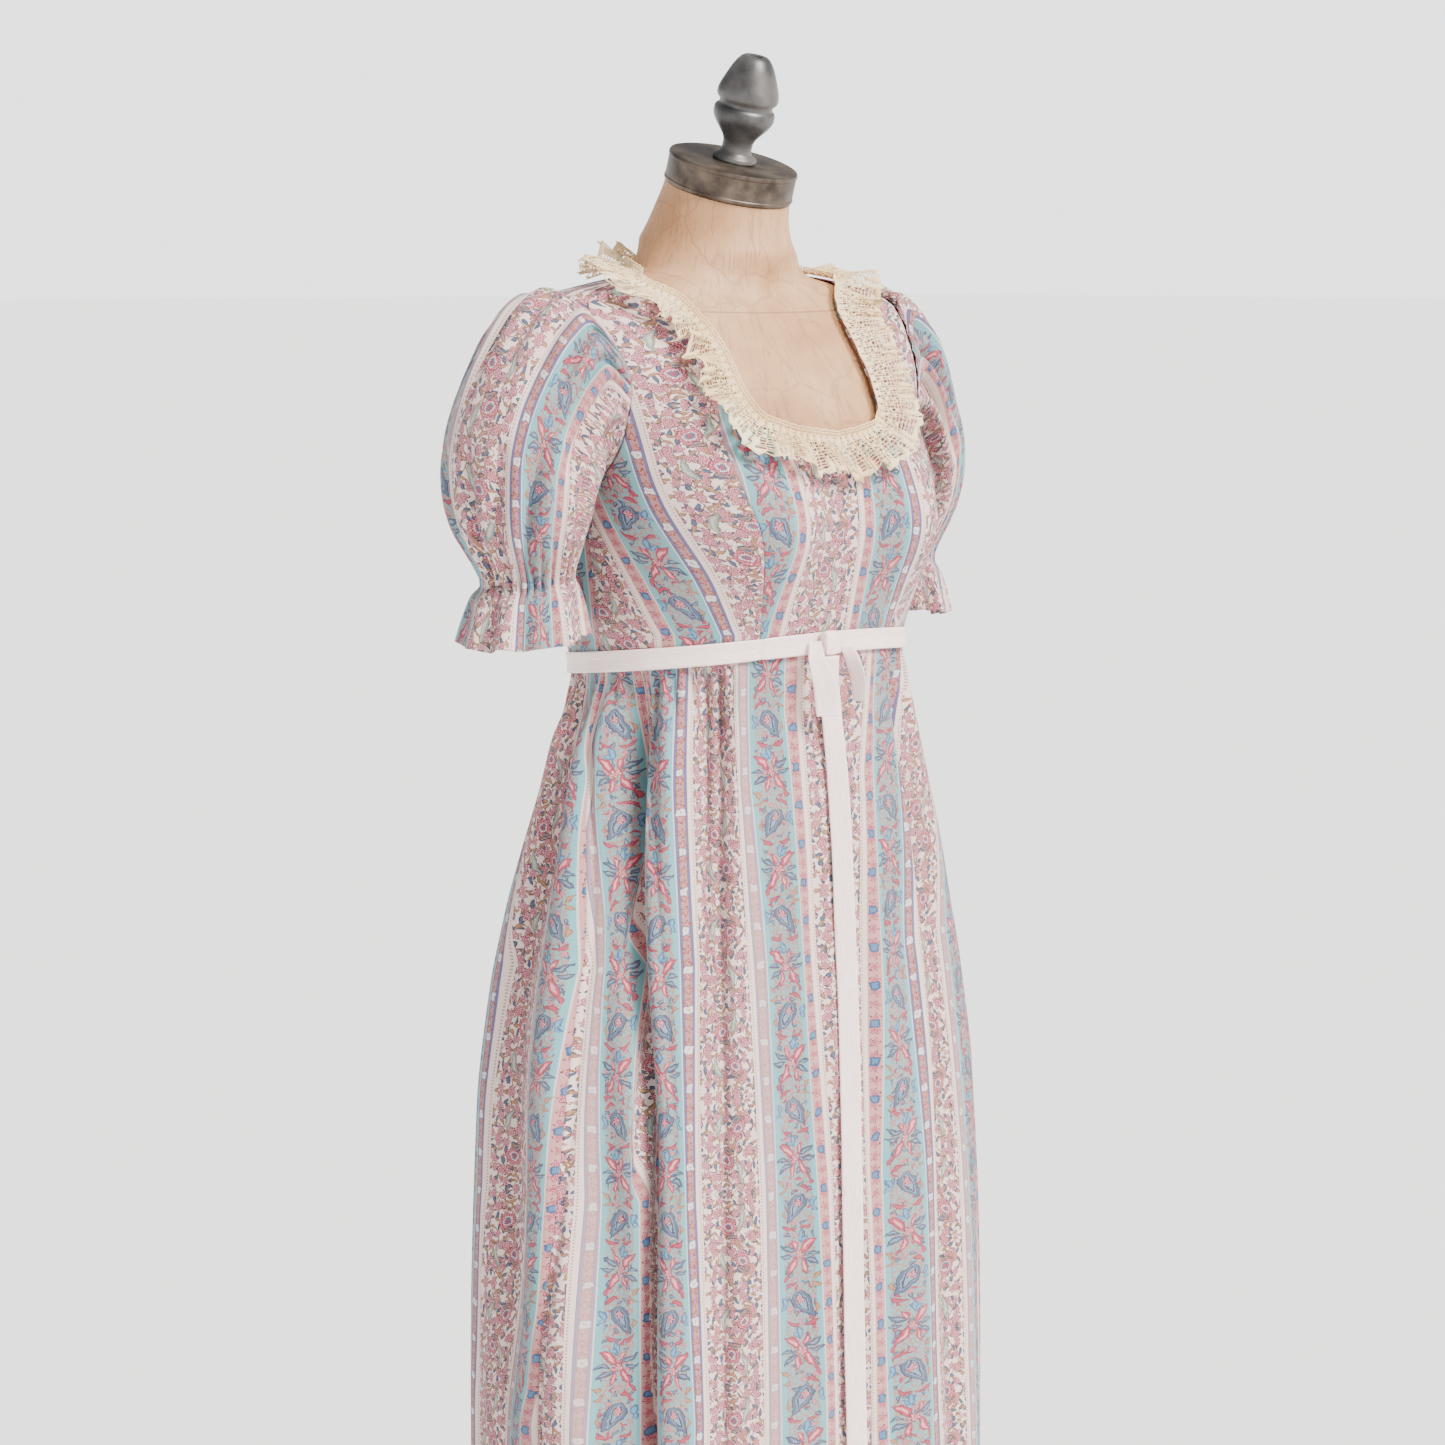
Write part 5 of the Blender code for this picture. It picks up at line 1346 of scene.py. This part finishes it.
def skirt_print(table, turn, height):
    """Metres across and along the cloth at a turn and height."""
    rows = np.array(sorted(table, key=lambda row: row[1]), float)
    count = len(PRINT_HEIGHTS)
    at_heights = np.stack([np.interp(turn, rows[:, column], rows[:, 0])
                           for column in range(1, count + 1)])
    place = np.interp(height, PRINT_HEIGHTS, np.arange(float(count)))
    low = np.clip(np.floor(place).astype(int), 0, count - 2)
    number = np.arange(len(turn))
    share = place - low
    across = at_heights[low, number] * (1.0 - share) + at_heights[low + 1, number] * share
    return np.stack((across * MM, height), axis=-1)


def skirt_panel(name, columns, rows, table):
    """The front or the back panel; both end along the side seams."""
    front = table is FRONT_PRINT

    def heights(turn, up):
        top = waist_line(turn)
        return top + (HEM_HEIGHT - top) * (1.0 - up) ** 1.2

    def spots(across, up):
        seam = seam_turn(heights(np.full_like(up, -SKIRT_SEAM), up))
        if front:
            turn = seam + (SKIRT_SEAM - seam) * across
        else:
            turn = SKIRT_SEAM - 360.0 + (seam - SKIRT_SEAM + 360.0) * across
        return turn, heights(turn, up)

    def place(across, up):
        return on_skirt(*spots(across, up))

    def print_at(across, up):
        return skirt_print(table, *spots(across, up))

    obj = fine_sheet(name, columns, rows, place, print_at)
    thicken(obj, THIN_COTTON)
    return obj


for name, columns, rows, table, flat, area, carrier in (
    ("skirt_front", 400, 120, FRONT_PRINT, (0.65, 1.09), 0.60, "bodice_cloth_front_centre"),
    ("skirt_back", 440, 110, BACK_PRINT, (0.75, 1.07), 0.70, "bodice_cloth_back_right"),
):
    panel = skirt_panel(name.replace("skirt", "skirt_cloth"), columns, rows, table)
    settle(panel, print_cloth, name)
# The hem is turned up once and stitched 16 mm above its edge
HEM_DEPTH = 16 * MM
turns_round = np.linspace(-180.0, 180.0, 1441)
stitch_height = np.full_like(turns_round, HEM_HEIGHT + HEM_DEPTH)
stitch_row("stitches_hem", on_skirt(turns_round, stitch_height, STITCH_LIFT))


# The neck ruffle: gathered ecru crochet lace, sewn round the neck edge a little under its
# own heading, open at the centre back. Its outer edge is worked in scallops with picots.
LACE_WIDE = 33 * MM
# Length of lace for a length of neck edge
LACE_CUT = 1.25
# Real cells are some 1.5 mm wide, of 0.4 mm thread; both are drawn coarser so that they show
LACE_CELL = 2.6 * MM
THREAD = 1.0 * MM
SCALLOP = 13 * MM
# How far its waves would swing a whole width out, in the heading and in the ruffle
HEADING_SWING = 3.2 * MM
RUFFLE_SWING = 8.6 * MM
# The heading stands up inside the neck edge, at an angle in degrees
HEADING_STAND = -34.0
PICOT = 2.4 * MM
# How far the lace stands off the bodice: turn, angle in degrees
LACE_STAND = (
    (0.0, 20.0),
    (36.0, 24.0),
    (60.0, 22.0),
    (85.0, 22.0),
    (105.0, 40.0),
    (130.0, 68.0),
    (180.0, 74.0),
)

# The halves stop short of the centre back, about 60 mm from the axis, by 0.3 mm each
LACE_SPAN = 180.0 - math.degrees(0.3 * MM / 0.06)
walk = np.linspace(-LACE_SPAN, LACE_SPAN, 1441)
seam_points = on_bodice(walk, neck_height(walk), 1.5 * MM)
steps = np.linalg.norm(np.diff(seam_points, axis=0), axis=1)
seam_lengths = np.concatenate(([0.0], np.cumsum(steps)))
seam_length = seam_lengths[-1]
seam_out = form_normal(walk, neck_height(walk))
seam_along = np.gradient(seam_points, axis=0)
seam_along /= np.linalg.norm(seam_along, axis=1, keepdims=True)
seam_away = np.cross(seam_along, seam_out)
seam_away /= np.linalg.norm(seam_away, axis=1, keepdims=True)
# The neck's own middle tells which way leads away from it
inside = np.array((0.0, 0.02, 1.40))
wrong = np.sum(seam_away * (seam_points - inside), axis=1) < 0.0
seam_away[wrong] *= -1.0


def lace_place(along, out):
    """Points of the lace: along it from nought to one, and metres out from its stitching."""
    length = along * seam_length
    turn = np.interp(length, seam_lengths, walk)
    base, normal, away = (
        np.stack([np.interp(length, seam_lengths, part[:, axis]) for axis in range(3)], axis=-1)
        for part in (seam_points, seam_out, seam_away)
    )
    stand = np.radians(read_rows(LACE_STAND, np.abs(turn))[..., 0])
    # The heading stands up inside the neck edge; the body of the lace falls outside it
    stand = np.where(out < 0.0, math.radians(HEADING_STAND), stand)[:, None]
    spread = away * np.cos(stand) + normal * np.sin(stand)
    ruffle = normal * np.cos(stand) - away * np.sin(stand)
    # Uneven ruffles: wide ones that come and go, with smaller ones between
    wide = np.sin(length * math.tau / 0.031 + 1.9 * np.sin(length * math.tau / 0.21))
    small = np.sin(length * math.tau / 0.0155 + 2.6 * np.sin(length * math.tau / 0.13) + 1.0)
    swing = (0.68 * wide + 0.32 * small) * (0.75 + 0.25 * np.sin(length * math.tau / 0.17))
    reach = np.abs(out) / LACE_WIDE
    deep = np.where(out < 0.0, HEADING_SWING, RUFFLE_SWING) * reach**0.8 * swing
    droop = -3.5 * MM * np.clip(reach - 0.4, 0.0, 1.0) ** 2
    sideways = 2.2 * MM * reach * np.cos(length * math.tau / 0.0235)
    point = base + spread * np.abs(out)[:, None] * np.where(out < 0.0, -1.0, 1.0)[:, None]
    point += ruffle * (deep + droop + 0.6 * MM)[:, None]
    point += np.cross(ruffle, spread) * sideways[:, None]
    return point


columns = int(seam_length * LACE_CUT / LACE_CELL)
# Rows across the lace: share of its width, from the heading's edge to the scallops' feet
LACE_ROWS = (-0.21, -0.14, -0.07, 0.0, 0.05, 0.13, 0.22, 0.31, 0.40, 0.49, 0.58, 0.67, 0.76,
             0.85, 0.93, 1.0)


def lace_sheet(name, first, last):
    """One stretch of the lace as a net of threads, with some cells worked solid."""
    count = int(round(columns * (last - first)))
    bm = bmesh.new()
    bmesh.ops.create_grid(bm, x_segments=count, y_segments=len(LACE_ROWS) - 1, size=0.5)
    share = np.array([vert.co.xy for vert in bm.verts]) + 0.5
    along = first + (last - first) * share[:, 0]
    row = np.rint(share[:, 1] * (len(LACE_ROWS) - 1)).astype(int)
    out = np.array(LACE_ROWS)[row] * LACE_WIDE
    cut_length = along * seam_length * LACE_CUT
    phase = cut_length / SCALLOP
    scallop = np.abs(np.sin(math.pi * phase))
    # Shells: the rows bow into fans, and the cells of each fan lean to its middle
    bow = np.clip(row - 6, 0, 9) / 9.0
    out = out + bow**2 * (scallop - 0.62) * 4.2 * MM
    lean = bow * 1.5 * MM * np.sin(math.tau * phase) / (seam_length * LACE_CUT)
    stitch = np.sin(cut_length * 1733.0 + row * 2.3) * 0.35 * MM
    uneven = np.sin(cut_length * 911.0 + row * 1.7) * 0.45 * MM / seam_length
    points = lace_place(np.clip(along + lean + uneven * (row > 0), 0.0, 1.0), out + stitch)
    picot = (row == len(LACE_ROWS) - 1) & (np.rint(along * columns).astype(int) % 2 == 0)
    further = lace_place(along, out + PICOT)
    points[picot] = further[picot]
    for vert, point in zip(bm.verts, points):
        vert.co = point
    bm.faces.ensure_lookup_table()
    worked = []
    for face in bm.faces:
        corner = face.verts[0].index
        which_row = row[corner]
        which = int(np.rint(along[corner] * columns))
        heading = which_row in (2, 3, 4) and which % 3 > 0
        checks = 5 <= which_row <= 8 and (which + 2 * which_row) % 4 == 0
        from_shell = abs((which + 0.5) * LACE_CELL / SCALLOP % 1.0 - 0.5)
        shell = which_row >= 9 and 0.08 < from_shell < 0.10 + 0.05 * (which_row - 8)
        if heading or checks or shell:
            worked.append(face)
    solid = bmesh.ops.duplicate(bm, geom=worked)["geom"]
    solid_faces = [item for item in solid if isinstance(item, bmesh.types.BMFace)]
    net_faces = [face for face in bm.faces if face not in set(solid_faces)]
    bmesh.ops.wireframe(bm, faces=net_faces, thickness=THREAD, use_boundary=True,
                        use_even_offset=True, use_replace=True, use_relative_offset=False)
    bmesh.ops.solidify(bm, geom=solid_faces, thickness=0.55 * THREAD)
    return add_piece(bm, name)


# Ecru mercerised cotton: soft, a little translucent, with twisted thread
ecru, tree, yarn = new_finish("ecru_crochet_cotton")
place = add(tree, "TexCoord", out=3)
tone = add(tree, "TexNoise", {"Vector": place, "Scale": 26.0, "Detail": 4.0})
tones = add(tree, "ValToRGB", {"Fac": tone})
set_stops(tones, (0.34, dye("#E2C08E")), (0.66, dye("#F8E1B9")))
ply = add(tree, "TexNoise", {"Vector": place, "Scale": 1500.0, "Detail": 2.0})
ply = add(tree, "Bump", {"Height": ply, "Strength": 0.6, "Distance": 0.35 * MM})
feed(yarn, {"Base Color": tones, "Normal": ply, "Roughness": 0.85, "Subsurface Weight": 0.15,
            "Subsurface Scale": 1.5 * MM})

for name, first, last in (("lace_ruffle_right", 0.0, 0.5), ("lace_ruffle_left", 0.5, 1.0)):
    lace = lace_sheet(name, first, last)
    settle(lace, ecru, "neckline_lace")


# The ribbon: pale pink satin, laid round the raised waist over the seam and tied in front in
# one knot. Its two ends hang free: one short end folded double, one long tail.
RIBBON_WIDE = 16 * MM
RIBBON_THICK = 0.45 * MM
# Round the raised waist
BAND_LONG = 0.78
# How far the band lies out from the cloth's middle: its upper edge, middle and lower edge
BAND_LIFTS = (2.4 * MM, 3.5 * MM, 4.2 * MM)
# Where the band is pinched, on the princess seam
BAND_TUCK = -34.5
# Down a free end: x, height, lift off the skirt, width, twist in degrees
LONG_TAIL = (
    (-0.0110, 1.1263, 0.0115, 0.0130, -4.0),
    (-0.0105, 1.1120, 0.0095, 0.0150, -12.0),
    (-0.0070, 1.0850, 0.0085, 0.0165, -22.0),
    (-0.0030, 1.0300, 0.0080, 0.0165, -28.0),
    (-0.0020, 0.9500, 0.0080, 0.0165, -28.0),
    (-0.0025, 0.8500, 0.0080, 0.0165, -26.0),
    (-0.0060, 0.7300, 0.0082, 0.0165, -24.0),
    (-0.0070, 0.6000, 0.0084, 0.0165, -26.0),
    (-0.0070, 0.4700, 0.0086, 0.0165, -28.0),
    (-0.0070, 0.3200, 0.0086, 0.0165, -24.0),
    (-0.0070, 0.1800, 0.0086, 0.0165, -18.0),
)
SHORT_END = (
    (-0.0247, 1.1380, 0.0080, 0.0090, -30.0),
    (-0.0290, 1.1255, 0.0150, 0.0130, -30.0),
    (-0.0250, 1.1050, 0.0200, 0.0180, -28.0),
    (-0.0200, 1.0820, 0.0180, 0.0180, -26.0),
)
TWISTED_END = (
    (0.0030, 1.1330, 0.0125, 0.0100, -30.0),
    (0.0075, 1.1220, 0.0150, 0.0120, -48.0),
    (0.0150, 1.1070, 0.0140, 0.0120, -60.0),
    (0.0200, 1.0900, 0.0120, 0.0090, -64.0),
)

# Acetate satin: long floats along the ribbon give it a soft lengthwise sheen; the paler
# lengthwise streaks in its colour are painted sheen
satin, tree, floats = new_finish("pale_pink_acetate_satin")
cut = add(tree, "UVMap", uv_map="cut")
cut_mm = add(tree, "VectorMath", {0: cut, 1: (1000.0, 1000.0, 0.0)}, operation="MULTIPLY")
sheen_streak = add(tree, "Mapping", {"Vector": cut_mm, "Scale": (0.06, 2.2, 1.0)})
sheen_streak = add(tree, "TexNoise", {"Vector": sheen_streak, "Scale": 1.0, "Detail": 3.0},
             noise_dimensions="2D")
# Painted sheen: the pink pales to near white in long streaks along the ribbon
pinks_and_painted_sheen = add(tree, "ValToRGB", {"Fac": sheen_streak})
set_stops(pinks_and_painted_sheen, (0.3, dye("#F1CCC4")), (0.7, dye("#FFF1ED")))
soft_fold = add(tree, "TexNoise", {"Vector": cut_mm, "Scale": 0.045, "Detail": 2.0},
                noise_dimensions="2D")
ribs = add(tree, "Math", {0: soft_fold, 1: 9.0, 2: sheen_streak}, operation="MULTIPLY_ADD")
relief = add(tree, "Bump", {"Height": ribs, "Strength": 0.35, "Distance": 0.15 * MM})
feed(floats, {"Base Color": pinks_and_painted_sheen, "Normal": relief, "Roughness": 0.30, "Anisotropic": 0.4,
              "Sheen Weight": 0.1})


def ribbon_piece(name, columns, rows, place, print_at, node, closed=False):
    """A length of ribbon on its solid."""
    obj = fine_sheet(name, columns, rows, place, print_at, closed)
    thicken(obj, RIBBON_THICK)
    settle(obj, satin, node)
    return obj


def band_place(across, up):
    """The band lies on the cloth, a little slack and pinched in one place."""
    turn = 360.0 * across - 180.0
    seam = waist_line(turn)
    upper = np.linalg.norm(on_bodice(turn, seam + 0.5 * RIBBON_WIDE)[..., :2], axis=-1)
    lower = skirt_reach(turn, seam - 0.5 * RIBBON_WIDE)
    middle = skirt_reach(turn, seam)
    reaches = np.stack((lower + BAND_LIFTS[2], middle + BAND_LIFTS[1], upper + BAND_LIFTS[0]))
    low = up < 0.5
    share = np.where(low, up * 2.0, up * 2.0 - 1.0)
    reach = np.where(low, reaches[0] + (reaches[1] - reaches[0]) * share,
                     reaches[1] + (reaches[2] - reaches[1]) * share)
    slack = 0.5 * MM * np.sin(np.radians(turn * 9.0)) * np.sin(np.radians(turn * 2.0 + 30.0))
    from_tuck = turn - BAND_TUCK
    tuck = -1.1 * MM * np.exp(-((from_tuck / 1.3) ** 2))
    level = seam + (up - 0.5) * RIBBON_WIDE * (1.0 - 0.05 * np.exp(-((from_tuck / 3.0) ** 2)))
    angle = np.radians(turn)
    reach = reach + slack + tuck
    return np.stack((reach * np.sin(angle), -reach * np.cos(angle), level), axis=-1)


band = ribbon_piece(
    "ribbon_band_satin", 420, 10, band_place,
    lambda across, up: np.stack((across * BAND_LONG, up * RIBBON_WIDE), axis=-1),
    "ribbon_band", closed=True)


def end_place(table, curl):
    """A free end that hangs from the knot: the ribbon's width is bowed a little across."""
    def place(across, up):
        top, foot = table[0][1], table[-1][1]
        height = foot + (top - foot) * up
        rows = sorted((row[1], row[0], *row[2:]) for row in table)
        x, lift, width, twist = np.moveaxis(read_rows(rows, height), -1, 0)
        turn = np.degrees(np.arcsin(np.clip(x / 0.11, -0.9, 0.9)))
        skirt = on_skirt(turn, np.minimum(height, waist_line(turn)))
        angle = np.radians(twist + curl * np.sin(height * 60.0))
        side = (across - 0.5) * width
        bow = curl * 0.08 * MM * (1.0 - (2.0 * across - 1.0) ** 2) * np.sin(height * 37.0)
        return np.stack((x + np.cos(angle) * side,
                         skirt[..., 1] - lift + np.sin(angle) * side - bow, height), axis=-1)
    return place


# The free ends: rows, curl in degrees, length to the cut end, flat width
for name, table, node, rows, curl, long, wide in (
    ("ribbon_tail_satin", LONG_TAIL, "ribbon_tail_long", 300, 3.0, 0.95, 0.016),
    ("ribbon_short_satin", SHORT_END, "ribbon_end_short", 60, 6.0, 0.06, 0.018),
    ("ribbon_twist_satin", TWISTED_END, "ribbon_loop_right", 60, 6.0, 0.05, 0.011),
):
    end = ribbon_piece(
        name, 10, rows, end_place(table, curl),
        lambda across, up, long=long: np.stack((up * long, across * RIBBON_WIDE), axis=-1), node)

# The knot: the ribbon wrapped once over itself, pulled in at its middle
knot_low, knot_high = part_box("ribbon_knot")
knot_bm = bmesh.new()
bmesh.ops.create_cube(knot_bm, size=1.0)
bmesh.ops.subdivide_edges(knot_bm, edges=knot_bm.edges[:], cuts=9, use_grid_fill=True)
knot_size, knot_middle = knot_high - knot_low, (knot_high + knot_low) / 2.0
for vert in knot_bm.verts:
    x, y, z = vert.co * 2.0
    rounded = max(abs(x), abs(y), abs(z)) / Vector((x, y, z)).length
    soft = 0.45 + 0.55 * rounded
    crease = 0.10 * math.exp(-((x - 0.25 * z + 0.25) / 0.16) ** 2)
    crease += 0.08 * math.exp(-((x + 0.35 * z - 0.45) / 0.14) ** 2)
    pinch = 1.0 - 0.12 * (1.0 - z * z)
    vert.co = Vector((x * soft * pinch, y * (soft - crease), z * soft)) * 0.52
    vert.co = Vector((vert.co.x * knot_size.x, vert.co.y * knot_size.y,
                      vert.co.z * knot_size.z)) + knot_middle
uv = knot_bm.loops.layers.uv.new("cut")
for face in knot_bm.faces:
    for loop in face.loops:
        loop[uv].uv = (loop.vert.co.z, loop.vert.co.x)
settle(add_piece(knot_bm, "ribbon_knot_satin"), satin, "ribbon_knot")


# A plain pale floor without a seen edge, and the soft light of a white studio.
FLOOR_HALF = 120.0
floor_bm = bmesh.new()
bmesh.ops.create_grid(floor_bm, x_segments=1, y_segments=1, size=FLOOR_HALF)
floor = add_piece(floor_bm, "studio_floor")
plain, tree, paint = new_finish("painted_studio_floor")
feed(paint, {"Base Color": dye("#F4F4F5"), "Roughness": 1.0, "Specular IOR Level": 0.0})
floor.data.materials.append(plain)
window = bpy.data.lights.new("broad_window", "SUN")
window.energy = 9.4
window.angle = math.radians(24.0)
window.color = dye("#FFFBF6")[:3]
light = bpy.data.objects.new("broad_window", window)
light.location = (0.5, -2.7, 3.7)
towards_dress = Vector((0.0, 0.0, 1.1)) - light.location
light.rotation_euler = towards_dress.to_track_quat("-Z", "Y").to_euler()
bpy.context.collection.objects.link(light)
# The white room is bright at the level of the dress and dimmer overhead
world = bpy.data.worlds.new("studio")
world.use_nodes = True
room = world.node_tree
facing = add(room, "TexCoord", out=3)
rising = add(room, "SeparateXYZ", {"Vector": facing}).node
overhead = add(room, "MapRange", {"Value": rising.outputs[2], "From Min": 0.09, "From Max": 0.24,
                                  "To Min": 2.78, "To Max": 0.60})
feed(room.nodes["Background"], {"Color": dye("#F6F7FA"), "Strength": overhead})
bpy.context.scene.world = world
